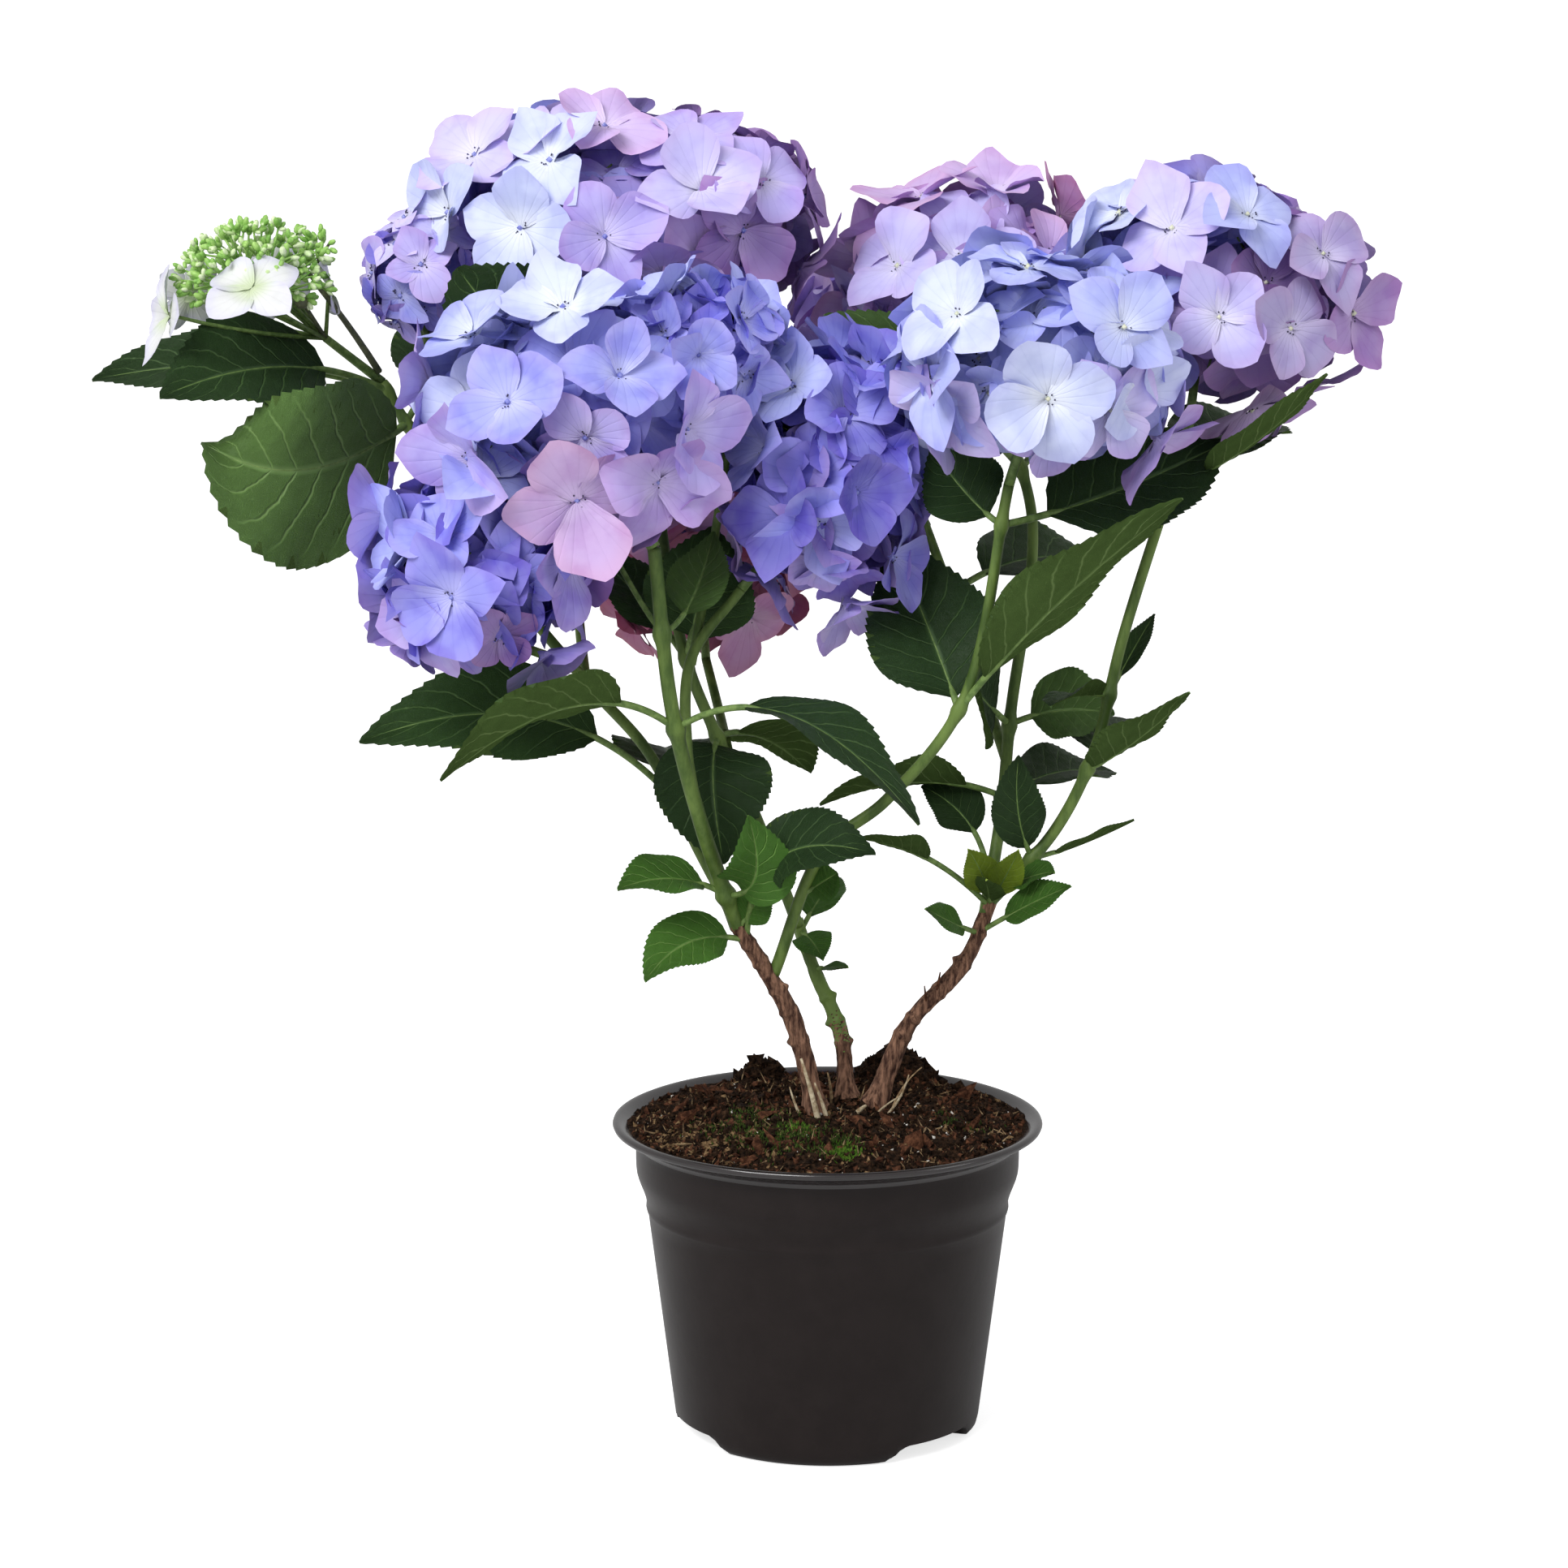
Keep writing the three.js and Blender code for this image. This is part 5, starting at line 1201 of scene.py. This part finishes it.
def leaf_skin(root, plan, seed):
    """Half the width is width/2 * sin(pi s^0.78)^0.9 at share s of the blade. A point at u across
    is raised by the fold, by a wave along the margin, and by a quilt between the side veins."""
    share = np.linspace(0.004, 0.997, BLADE_ROWS)
    line, along = leaf_line(root, plan, plan["stalk"] + (1 - plan["stalk"]) * share)
    upper, side = leaf_frame(plan, along)
    half = np.maximum(plan["width"] / 2 * np.sin(math.pi * share ** 0.78) ** 0.9, 0.5)
    across = BLADE_LOOP
    below = np.arange(len(across)) >= len(BLADE_ACROSS)
    far = np.abs(across)
    tooth = (np.arange(BLADE_ROWS) % 2)[:, None] * far ** 8 * np.sin(math.pi * share[:, None]) ** 0.4
    size = plan["width"] / 50
    out = half[:, None] * across + np.sign(across) * tooth * (0.2 + 0.32 * size)
    phase = SIDE_VEINS * (share[:, None] - VEIN_SWEEP * far)
    quilt = QUILT_HEIGHT * size * (0.5 - 0.5 * np.cos(2 * math.pi * phase)) * 4 * far * (1 - far)
    sway = 6.28 * chance(seed, 1) + 2.2 * np.sign(across)
    wave = LEAF_WAVE * half[:, None] * far ** 2 * np.sin(11 * share[:, None] + sway)
    fold = LEAF_FOLD * half[:, None] * far ** 1.35
    high = fold + wave + quilt * np.sin(math.pi * share[:, None]) ** 0.5
    high = high - below * LEAF_THICKNESS * (1 - far ** 3)
    forward = tooth * 0.5 * np.linalg.norm(line[-1] - line[0]) / TEETH
    return (line[:, None] + side[:, None] * out[..., None] + upper[:, None] * high[..., None]
            + along[:, None] * forward[..., None])[None]


def leaf_stalk(root, plan):
    """The stalk, and the midrib that it becomes, sunk along the underside to near the tip."""
    share = np.linspace(0, 0.93, 40)
    line, along = leaf_line(root, plan, share)
    upper, _ = leaf_frame(plan, along)
    on_blade = np.clip((share - plan["stalk"]) / (1 - plan["stalk"]), 0, 1)
    size = 0.7 + 0.35 * plan["width"] / 50
    thick = size * (1.45 - 0.55 * smooth(on_blade, 0, 0.15) - 0.65 * on_blade)
    return tube(line - upper * (thick * 0.75 * smooth(on_blade, 0, 0.12))[:, None], thick, 8)


ROUND_BLADE = np.append(BLADE_LOOP, BLADE_LOOP[0])
BLADE_MAP = np.broadcast_arrays((ROUND_BLADE + 1) / 2, np.linspace(0, 1, BLADE_ROWS)[:, None])
BLADE_MAP = np.stack(BLADE_MAP, axis=-1)
UPPER_SIDE = np.arange(len(BLADE_LOOP)) < len(BLADE_ACROSS) - 1
print("one leaf has", (BLADE_ROWS - 1) * len(BLADE_LOOP), "faces")

# %% All leaves, gathered by the shoot that carries them
LEAF_GROUPS = ("front", "left_foot", "far_left", "crown", "middle_foot", "pale", "rose", "right", "back")


def grow_leaf(piece, on, at, plan, seed):
    """One leaf with its stalk, rooted at a share of a limb's length."""
    root = spot_on(on, at)
    slots = np.where(UPPER_SIDE, piece.finish("leaf_" + plan["tint"]), piece.finish("leaf_underside"))
    piece.grids(leaf_skin(root, plan, seed), slots[None, None], around=True, maps=BLADE_MAP)
    piece.grids(leaf_stalk(root, plan), piece.finish("leaf_rib"), around=True)


for region in LEAF_GROUPS:
    nodes = [name for name in LEAF_PAIRS if name.startswith("leaves_" + region)]
    foliage = Gathering("foliage_" + region)
    for name in nodes:
        on, at, plans = LEAF_PAIRS[name]
        for which, plan in enumerate(plans):
            grow_leaf(foliage, on, at, plan, len(name) + 3 * which)
    foliage.make("foliage", *nodes, sharp=70)

sprouts = Gathering("young_leaves")
for seed, (on, at, plan) in enumerate(SPROUTS):
    grow_leaf(sprouts, on, at, plan, seed)
sprouts.make("foliage", sharp=70)

# %% [markdown]
# ## Florets
# A floret is four broad petal-like sepals round a small bead. One pair lies a little over the other,
# each is shallowly cupped, and its margin waves. Copies of one floret would look stamped, so all
# florets of a layer are worked out at once as arrays, each with its own lift, curl, twist and width.

# %% Sepals as grids
SEPAL_STEPS = np.linspace(-1, 1, 7)
DISC_ALONG = SEPAL_STEPS[:, None] * np.sqrt(1 - SEPAL_STEPS[None] ** 2 / 2)
DISC_ACROSS = SEPAL_STEPS[None] * np.sqrt(1 - SEPAL_STEPS[:, None] ** 2 / 2)
DISC_MAP = np.stack([DISC_ACROSS, DISC_ALONG], axis=-1) / 2 + 0.5
PAIR_GAP = 0.8


def sepal_shapes(length, breadth, lift, curl, cup, fold, twist, wave, phase, point):
    """A square grid pressed into a disc and then into a broad petal with a blunt point. With t from 0
    at the base to 1 at the tip, the middle line is an arc that starts at the angle lift and turns by
    curl: out = length (sin(lift + curl t) - sin lift) / curl, and up is the like with cosines.
    Across it, the sepal is cupped, folded, twisted, and waved round its margin."""
    habits = (length, breadth, lift, curl, cup, fold, twist, wave, phase, point)
    length, breadth, lift, curl, cup, fold, twist, wave, phase, point = (
        habit[:, None, None] for habit in habits)
    ahead, aside = DISC_ALONG[None], DISC_ACROSS[None]
    rim = ahead ** 2 + aside ** 2
    around = np.arctan2(aside, ahead + 0.3)
    along = (ahead + 1) / 2 * (1 + 0.04 * rim * np.sin(4 * around + 2 * phase))
    along = along + point * along ** 3 * (1 - np.abs(aside)) ** 1.5
    turned = lift + curl * along
    out = length * (np.sin(turned) - np.sin(lift)) / curl
    up = length * (np.cos(lift) - np.cos(turned)) / curl
    ripple = np.sin(3 * around + phase) + 0.7 * np.sin(6 * around + 2.3 * phase)
    bowl = cup * aside ** 2 + fold * np.abs(aside) + twist * aside * along + wave * rim * ripple
    width = breadth * aside * (0.92 + 0.2 * ahead - 0.16 * ahead ** 2)
    return np.stack(np.broadcast_arrays(out, width, up + breadth * bowl), axis=-1)


def set_out(local, centres, outward, turn):
    """Local grids turned about their floret's axis, tipped to its outward direction and moved."""
    help_axis = np.where(np.abs(outward[:, 2:]) > 0.9, (1.0, 0, 0), (0, 0, 1.0))
    first = unit(np.cross(help_axis, outward))
    second = np.cross(outward, first)
    cosine, sine = np.cos(turn)[:, None], np.sin(turn)[:, None]
    x_axis = first * cosine + second * sine
    y_axis = second * cosine - first * sine
    basis = np.stack([x_axis, y_axis, outward], axis=1)
    return np.einsum("nrcs,nsk->nrck", local, basis) + centres[:, None, None]


def add_florets(piece, centres, outward, spin, size, slots, seed, lift):
    """Four sepals for each floret: one opposite pair lies over the other, and each sepal has its own
    length, breadth, lift, curl, cup, fold, twist, wave and point by chance."""
    many = len(centres)
    floret = np.repeat(np.arange(many), 4)
    quarter = np.tile(np.arange(4), many)
    count = floret * 4 + quarter

    def vary(mark, low, high):
        """A chance number between low and high for each sepal."""
        return low + (high - low) * chance(seed + mark, count)

    above = quarter % 2
    length = size[floret] * vary(11, 0.88, 1.08)
    mood = (chance(seed + 5, np.arange(many)) - 0.5)[floret]
    local = sepal_shapes(
        length=length,
        breadth=length * vary(12, 0.48, 0.6),
        lift=lift * (1 + mood) + vary(13, -0.15, 0.15) + 0.06 * above,
        curl=vary(14, -0.9, 0.15) - 0.5 * lift * mood + 0.013,
        cup=vary(15, -0.1, 0.22),
        fold=vary(21, -0.04, 0.24),
        twist=vary(16, -0.2, 0.2),
        wave=vary(17, 0.02, 0.085) * (0.5 + 1.8 * lift),
        phase=vary(18, 0, 6.28),
        point=vary(19, 0.04, 0.24))
    local[..., 2] += PAIR_GAP * above[:, None, None]
    turn = spin[floret] + quarter * math.pi / 2 + vary(20, -0.12, 0.12)
    piece.grids(set_out(local, centres[floret], outward[floret], turn), slots[floret], maps=DISC_MAP)


def add_beads(piece, spots, sizes, look):
    """Small eight-sided beads."""
    add_scraps(piece, OCTAHEDRON * sizes[:, None, None] + spots[:, None], look)


print("one sepal has", (len(SEPAL_STEPS) - 1) ** 2, "faces")

# %% [markdown]
# ## Heads
# Florets sit on a head like seeds on a sunflower: each is turned on by the golden angle from the one
# before, which spaces them evenly with no rows. The solids use the same rule with fewer florets. Here
# a second, inner layer fills the gaps, so that a look between the outer petals meets more petals in
# shade, as in the real head. Heads that crowd each other are parted by a plane. The few florets that
# show whole from the front are placed one by one, and those round them are pressed a little deeper.

# %% Spots of the florets
GOLDEN_ANGLE = math.pi * (3 - math.sqrt(5))
FLORET_RADIUS = 27.0
FLORET_CUP = 6.0
HEAD_ROOM = 8.0
DRAWN_IN = 0.95
LEVELS = 7
HEAD_SPAN = 1.72
INNER_DEPTH = 0.76
INNER_SHARE = 0.75
INNER_SIZE = 0.9
INNER_SEED = 40


def reach_of(radii, way):
    """How far an ellipsoid reaches from its centre in a direction."""
    return 1 / np.linalg.norm(np.asarray(way) / np.asarray(radii))


def partings(name):
    """The planes that part a head from those that crowd it: a point and the way out of each."""
    mine = HEADS[name]
    planes = []
    for other, theirs in HEADS.items():
        if other == name:
            continue
        way = np.subtract(theirs["at"], mine["at"]).astype(float)
        apart = np.linalg.norm(way)
        way = way / apart
        ours, reached = reach_of(mine["radii"], way), reach_of(theirs["radii"], way)
        if ours + reached + HEAD_ROOM > apart:
            planes.append((np.array(mine["at"]) + way * apart * ours / (ours + reached), way))
    return planes


def tilted(ways, axis):
    """Directions about +Z carried to be about the axis, by a half turn about the line half-way."""
    half_way = unit(np.array([0, 0, 1.0]) + axis)
    return 2 * (ways @ half_way)[:, None] * half_way - ways


def seat_of(name):
    """The share of the radii at which a flat floret's tips just touch the head's outline, drawn in
    by 5 percent because the real tips curl up, and the size of such a floret."""
    mean = np.mean(HEADS[name]["radii"])
    size = min(FLORET_RADIUS, mean * 0.52)
    cup = FLORET_CUP * size / FLORET_RADIUS
    return DRAWN_IN * math.sqrt((mean - cup) ** 2 - size ** 2) / mean, size


def golden_ways(many, span, sway=0):
    """Directions from the top of a unit sphere down to `span` below it, at even steps of height,
    each turned on by the golden angle."""
    number = np.arange(many)
    height = 1 - span * (number + 0.5) / many
    angle = number * GOLDEN_ANGLE + sway
    level = np.sqrt(1 - height ** 2)
    return np.stack([level * np.cos(angle), level * np.sin(angle), height], axis=-1)


def spiral(name, seed, many):
    """Golden-angle directions round the head's axis, from its top nearly to its stalk."""
    head = HEADS[name]
    axis = unit(np.subtract(head["at"], spot_on(head["on"], 1.0)))
    sway = 0.5 * (chance(seed, np.arange(many)) - 0.5)
    return tilted(golden_ways(many, HEAD_SPAN, sway), axis)


def seen_ways(name, spots):
    """Directions on a head for spots given as the camera sees them, right and up of its centre: the
    line of sight through each spot meets the unit sphere that the head's radii stretch."""
    radii = np.array(HEADS[name]["radii"], dtype=float) * seat_of(name)[0]
    pitch = math.radians(CAMERA_PITCH)
    upward = np.array([0, math.sin(pitch), math.cos(pitch)]) / radii
    nearer = np.array([0, -math.cos(pitch), math.sin(pitch)]) / radii
    start = spots[:, :1] * np.array([1, 0, 0]) / radii + spots[:, 1:2] * upward
    along = start @ nearer
    room = along ** 2 - nearer @ nearer * ((start ** 2).sum(axis=1) - 1)
    step = (np.sqrt(np.maximum(room, 0)) - along) / (nearer @ nearer)
    return unit(start + step[:, None] * nearer)


print("planes round the middle head:", len(partings("bloom_middle")))

# %% One layer of a head
ANTHERS = 5
ANTHER_SIZE = 0.5
EYES = {"bloom_right": "eye_cream", "bloom_pale": "eye_cream", "bloom_rose": "eye_cream"}
EYE_HEIGHT = 1.5
ANTHER_HEIGHT = 2.4
TINT_TURN = 0.42
TINT_CHANCE = 0.6


def dealt(piece, tints, ways, warm_and_shaded_side, seed):
    """The slot each floret takes: a tint by its place towards the warm and shaded side and some chance.
    Later tints are pinker, as the flowers are, and deeper as painted shade.
    """
    slots = np.array([piece.finish(tint) for tint in tints])
    number = np.arange(len(ways))
    luck = TINT_CHANCE * (chance(seed + 31, number) - 0.5)
    # Places towards this side take the later, deeper tints, which are painted shade.
    warmth_and_shade = 0.5 + TINT_TURN * ways @ np.array(warm_and_shaded_side) + luck
    return slots[np.clip(np.floor(warmth_and_shade * len(tints)), 0, len(tints) - 1).astype(int)]


def open_ways(name, ways, depth, size):
    """Whether each spot is on the head's own side of every parting plane."""
    head = HEADS[name]
    spots = np.array(head["at"]) + np.array(head["radii"]) * ways * depth
    kept = np.ones(len(ways), dtype=bool)
    for point, way in partings(name):
        kept &= (spots - point) @ way < -0.2 * size
    return kept


def grow_layer(piece, name, seed, ways, sizes, slots, depth, lift, pressed, first=0):
    """Florets at the ways of one layer. Each sits on one of seven levels, dealt so that neighbours on
    the spiral never share one, which lets their petals lie over each other like tiles. The first few
    lie outermost, and others are pressed deeper by as many mm as given."""
    head = HEADS[name]
    number = np.arange(len(ways))
    spots = np.array(head["at"]) + np.array(head["radii"]) * ways * depth
    outward = unit(ways / np.array(head["radii"]))
    lean = np.stack([chance(seed + mark, number) - 0.5 for mark in (61, 62, 63)], axis=-1)
    sunk = ((3 * number % LEVELS) / (LEVELS - 1) - 0.5) * head["depth"]
    sunk = np.where(number < first, -0.5 * head["depth"] + 0.8 * (number % 3), sunk)
    spots = spots - outward * (sunk + pressed)[:, None]
    outward = unit(outward + head["lean"] * lean)
    add_florets(piece, spots, outward, chance(seed + 3, number) * math.pi, sizes, slots, seed, lift)
    eyes = 1.2 + 0.6 * chance(seed + 71, number)
    add_beads(piece, spots + outward * EYE_HEIGHT, eyes, EYES.get(name, "eye_blue"))
    count = np.arange(len(ways) * ANTHERS)
    aside = np.stack([chance(seed + mark, count) - 0.5 for mark in (91, 92, 93)], axis=-1)
    axis = np.repeat(outward, ANTHERS, axis=0)
    aside = unit(aside - (aside * axis).sum(axis=1, keepdims=True) * axis)
    out = 2.0 + 1.6 * chance(seed + 94, count)[:, None]
    places = np.repeat(spots, ANTHERS, axis=0) + aside * out + axis * ANTHER_HEIGHT
    add_beads(piece, places, np.full(len(count), ANTHER_SIZE), "anther")


print("a layer's florets sit on", LEVELS, "levels")

# %% Growing a head
SHOWY_PRESS = 5.0
PRESSED_FROM = 0.9
PRESSED_TO = 1.7
SHOWY_ROOM = 0.84
SMALLEST = 0.78
SIZE_CHANCE = 0.26
UNDER_SHRINK = 0.35


def pressed_by(front, ways, reach, size):
    """How much deeper florets lie near the showy ones, which fades by a smooth step to nothing at 1.7
    sizes away over the head, and how far away they are."""
    away = np.arccos(np.clip(ways @ front.T, -1, 1)).min(axis=1) * reach
    return SHOWY_PRESS * (1 - smooth(away, PRESSED_FROM * size, PRESSED_TO * size)), away


def grow_head(name, seed):
    """The florets that show most, the spiral between them, and an inner layer whose deeper tints are
    painted shade between the florets.
    """
    head = HEADS[name]
    piece = Gathering(name.replace("bloom", "florets"))
    seat, size = seat_of(name)
    size = size * head["size"]
    ways = spiral(name, seed, head["florets"])
    ways = ways[open_ways(name, ways, seat, size)]
    sizes = size * (SMALLEST + SIZE_CHANCE * chance(seed + 7, np.arange(len(ways))))
    sizes = sizes * (1 - UNDER_SHRINK * smooth(-ways[:, 2], 0.35, 0.85))
    slots = dealt(piece, head["tints"], ways, head["warm_and_shaded_side"], seed)
    inner_seat, inner_seed = seat * INNER_DEPTH, seed + INNER_SEED
    inner = spiral(name, inner_seed, int(INNER_SHARE * head["florets"]))
    inner = inner[open_ways(name, inner, inner_seat, size)]
    pressed, inner_pressed = np.zeros(len(ways)), np.zeros(len(inner))
    if head["showy"]:
        seen = np.array([spot[:3] for spot in head["showy"]], dtype=float)
        front = seen_ways(name, seen)
        reach = np.mean(head["radii"]) * seat
        pressed, away = pressed_by(front, ways, reach, size)
        inner_pressed, _ = pressed_by(front, inner, reach, size)
        clear = away > SHOWY_ROOM * size
        ways = np.concatenate([front, ways[clear]])
        sizes = np.concatenate([seen[:, 2], sizes[clear]])
        slots = np.concatenate([[piece.finish(spot[3]) for spot in head["showy"]], slots[clear]])
        pressed = np.concatenate([np.zeros(len(front)), pressed[clear]])
    grow_layer(piece, name, seed, ways, sizes, slots, seat, head["lift"], pressed, len(head["showy"]))
    # The inner layer's deeper tints are painted shade in the gaps between the outer florets.
    slots = dealt(piece, head["inner"], inner, head["warm_and_shaded_side"], inner_seed)
    sizes = np.full(len(inner), size * INNER_SIZE)
    grow_layer(piece, name, inner_seed, inner, sizes, slots, inner_seat, head["lift"], inner_pressed)
    piece.make(head["slot"], name)


for seed, name in enumerate(HEADS, start=1):
    grow_head(name, seed)

# %% [markdown]
# ## Stalks inside the heads
# Each head is a branched cluster: the shoot ends in a short stalk that splits into rays, and every
# floret hangs on its own thin stalk. They show from below and between florets, so they are grown as
# thin tubes from the shoot's tip to the nearest ray's end and on to each floret.

# %% Rays and floret stalks
FORK_SHARE = 0.45
RAYS = 9
RAY_REACH = 0.42
STALK_REACH = 0.84


def grow_stalks(piece, name, seed):
    """A stalk into the head, nine rays by the golden angle, and a stalk from the nearest ray's end
    to each floret of the outer spiral."""
    head = HEADS[name]
    centre = np.array(head["at"], dtype=float)
    radii = np.array(head["radii"], dtype=float)
    tip = spot_on(head["on"], 1.0)
    fork = tip + FORK_SHARE * (centre - tip)
    thick = LIMBS[head["on"]][1] * SHOOT_SLENDER
    add_twig(piece, "leaf_rib", tip, fork, thick, 0.8 * thick, 4, 8)
    ends = centre + radii * spiral(name, seed, RAYS) * RAY_REACH
    for end in ends:
        add_twig(piece, "leaf_rib", fork, end, 1.5, 0.9, 5, 5)
    ways = spiral(name, seed, head["florets"])
    seat, size = seat_of(name)
    ways = ways[open_ways(name, ways, seat, size)]
    spots = centre + radii * ways * seat * STALK_REACH
    near = np.argmin(np.linalg.norm(spots[:, None] - ends[None], axis=-1), axis=1)
    for spot, which in zip(spots, near):
        add_twig(piece, "leaf_rib", ends[which], spot, 0.8, 0.6, 4, 3)


stalks = Gathering("floret_stalks")
for seed, name in enumerate(HEADS, start=1):
    grow_stalks(stalks, name, seed)
stalks.make("green_shoot")

# %% [markdown]
# ## The young head
# One head is still opening: a low dome of green buds on fine stalks, with a few white florets at its
# rim and one bare, darker side twig. Buds could be spheres, but an egg of five rings of six points is
# cheaper and looks the same at this size.

# %% Buds
BUD_ROWS = np.linspace(0.02, math.pi - 0.02, 5)[:, None]
BUD_TURNS = np.linspace(0, 2 * math.pi, 6, endpoint=False)
BUD_LENGTH = 1.9
BUD_SHAPE = np.stack(np.broadcast_arrays(
    np.sin(BUD_ROWS) * np.cos(BUD_TURNS), np.sin(BUD_ROWS) * np.sin(BUD_TURNS),
    BUD_LENGTH * np.cos(BUD_ROWS)), axis=-1)


def add_buds(piece, look, spots, outward, sizes):
    """Egg-shaped buds that point outward: circles of radius sin a at height 1.9 cos a."""
    eggs = np.broadcast_to(BUD_SHAPE, (len(spots), *BUD_SHAPE.shape)) * sizes[:, None, None, None]
    piece.grids(set_out(eggs, spots, outward, np.zeros(len(spots))), piece.finish(look), around=True)


def scattered(marks, many):
    """Steps aside by chance, from -0.5 to 0.5 each way."""
    return np.stack([chance(mark, np.arange(many)) - 0.5 for mark in marks], axis=-1)


print("one bud's grid:", BUD_SHAPE.shape)

# %% Where clusters of buds and white florets sit
YOUNG_AT = np.array([-250.0, 0.0, 517.0])
YOUNG_RADII = np.array([36.0, 34.0, 29.0])
YOUNG_SPAN = 1.3
YOUNG_CLUSTERS = 84
YOUNG_RAYS = 9
WHITE_ROOM = 13
WHITE_FLORETS = [
    ((2, -34, 1), (-0.1, -0.72, 0.7), 0.9, 21),
    ((-35, -17, -12), (-0.95, -0.35, 0.05), 0.1, 19),
    ((-30, 20, -8), (-0.6, 0.7, 0.2), 0.7, 17),
    ((4, 33, -2), (0.1, 0.95, 0.2), 0.2, 18),
    ((31, 12, -4), (0.9, 0.3, 0.2), 0.6, 14),
]
young_tip = spot_on("shoot_far_left", 1.0)
hub = young_tip + FORK_SHARE * (YOUNG_AT - young_tip)
white_aside, white_ways, white_turns, white_sizes = (
    np.array(column, dtype=float) for column in zip(*WHITE_FLORETS))
white_spots = YOUNG_AT + white_aside
ways = golden_ways(YOUNG_CLUSTERS, YOUNG_SPAN)
depth = 0.7 + 0.22 * chance(9, np.arange(YOUNG_CLUSTERS))
clusters = YOUNG_AT + ways * YOUNG_RADII * depth[:, None]
rays = YOUNG_AT + ways[::YOUNG_CLUSTERS // YOUNG_RAYS] * YOUNG_RADII * 0.4
bare = np.linalg.norm(clusters[:, None] - white_spots, axis=-1).min(axis=1) > WHITE_ROOM
clusters, ways = clusters[bare], ways[bare]
print(len(clusters), "clusters of buds on", len(rays), "rays")

# %% Buds, their stalks and the white florets
BUDS_EACH = 6
many_buds = BUDS_EACH * len(clusters)
near_buds = np.repeat(clusters, BUDS_EACH, axis=0)
bud_ways = unit(np.repeat(ways, BUDS_EACH, axis=0) + 1.9 * scattered((21, 22, 23), many_buds))
bud_spots = near_buds + bud_ways * (2.0 + 2.6 * chance(24, np.arange(many_buds)))[:, None]
bud_sizes = 0.9 + 0.8 * chance(25, np.arange(many_buds))
member = np.tile(np.arange(BUDS_EACH), len(clusters))
young = Gathering("young_head")
for look, part in (("bud_green", member % 3 > 0), ("bud_pale", member % 3 == 0)):
    add_buds(young, look, bud_spots[part], bud_ways[part], bud_sizes[part])
add_twig(young, "leaf_rib", young_tip, hub, 2.2, 1.8, 5, 8)
for end in rays:
    add_twig(young, "leaf_rib", hub, end, 1.2, 0.8, 5, 5, (0, 0, -2))
near = np.argmin(np.linalg.norm(clusters[:, None] - rays[None], axis=-1), axis=1)
for spot, which in zip(clusters, near):
    add_twig(young, "bud_green", rays[which], spot, 0.7, 0.45, 4, 4)
for cluster, spot in zip(near_buds[::2], bud_spots[::2]):
    add_twig(young, "bud_green", cluster, spot, 0.45, 0.4, 3, 3)
slots = np.full(len(white_spots), young.finish("young_white"))
add_florets(young, white_spots, unit(white_ways), white_turns, white_sizes, slots, 77, 0.2)
for spot in white_spots:
    add_twig(young, "leaf_rib", hub, spot, 1.1, 0.8, 6, 5, (0, 0, -4))
print(many_buds, "buds and", len(white_spots), "white florets")

# %% The bare side twig: each stretch by its ends and radius, a dark bud, and green ones at its end
SIDE_TWIG = [
    ((-199, 36, 474), (-223, 8, 515), 1.6),
    ((-223, 8, 515), (-234, 2, 529), 1.1),
    ((-223, 8, 515), (-223, 5, 532), 1.0),
    ((-228, 5, 522), (-237, 2, 520), 0.8),
    ((-223, 6, 526), (-217, 5, 535), 0.8),
]
DARK_BUD_AT = (-229, -8, 510)
DARK_BUD_SIZE = 3.6
END_BUDS = 22
END_BUDS_AT = (-221, 4, 536)
END_BUDS_ROOM = (15, 12, 10)
for start, end, thick in SIDE_TWIG:
    add_twig(young, "dusk_twig", start, end, thick, 0.75 * thick, 6, 6, (1, 0, 1))
forward = np.array([(0, -1.0, 0)])
add_buds(young, "dusk_twig", np.array([DARK_BUD_AT], dtype=float), forward, np.array([DARK_BUD_SIZE]))
add_twig(young, "dusk_twig", hub, np.add(DARK_BUD_AT, (0, 2, 0)), 1.1, 0.9, 5, 5)
aside = scattered((81, 82, 83), END_BUDS)
end_spots = np.array(END_BUDS_AT) + aside * END_BUDS_ROOM
add_buds(young, "bud_green", end_spots, unit(aside + (0, 0, 0.3)), np.full(END_BUDS, 1.3))
young.make("young_blossom", "bloom_young")
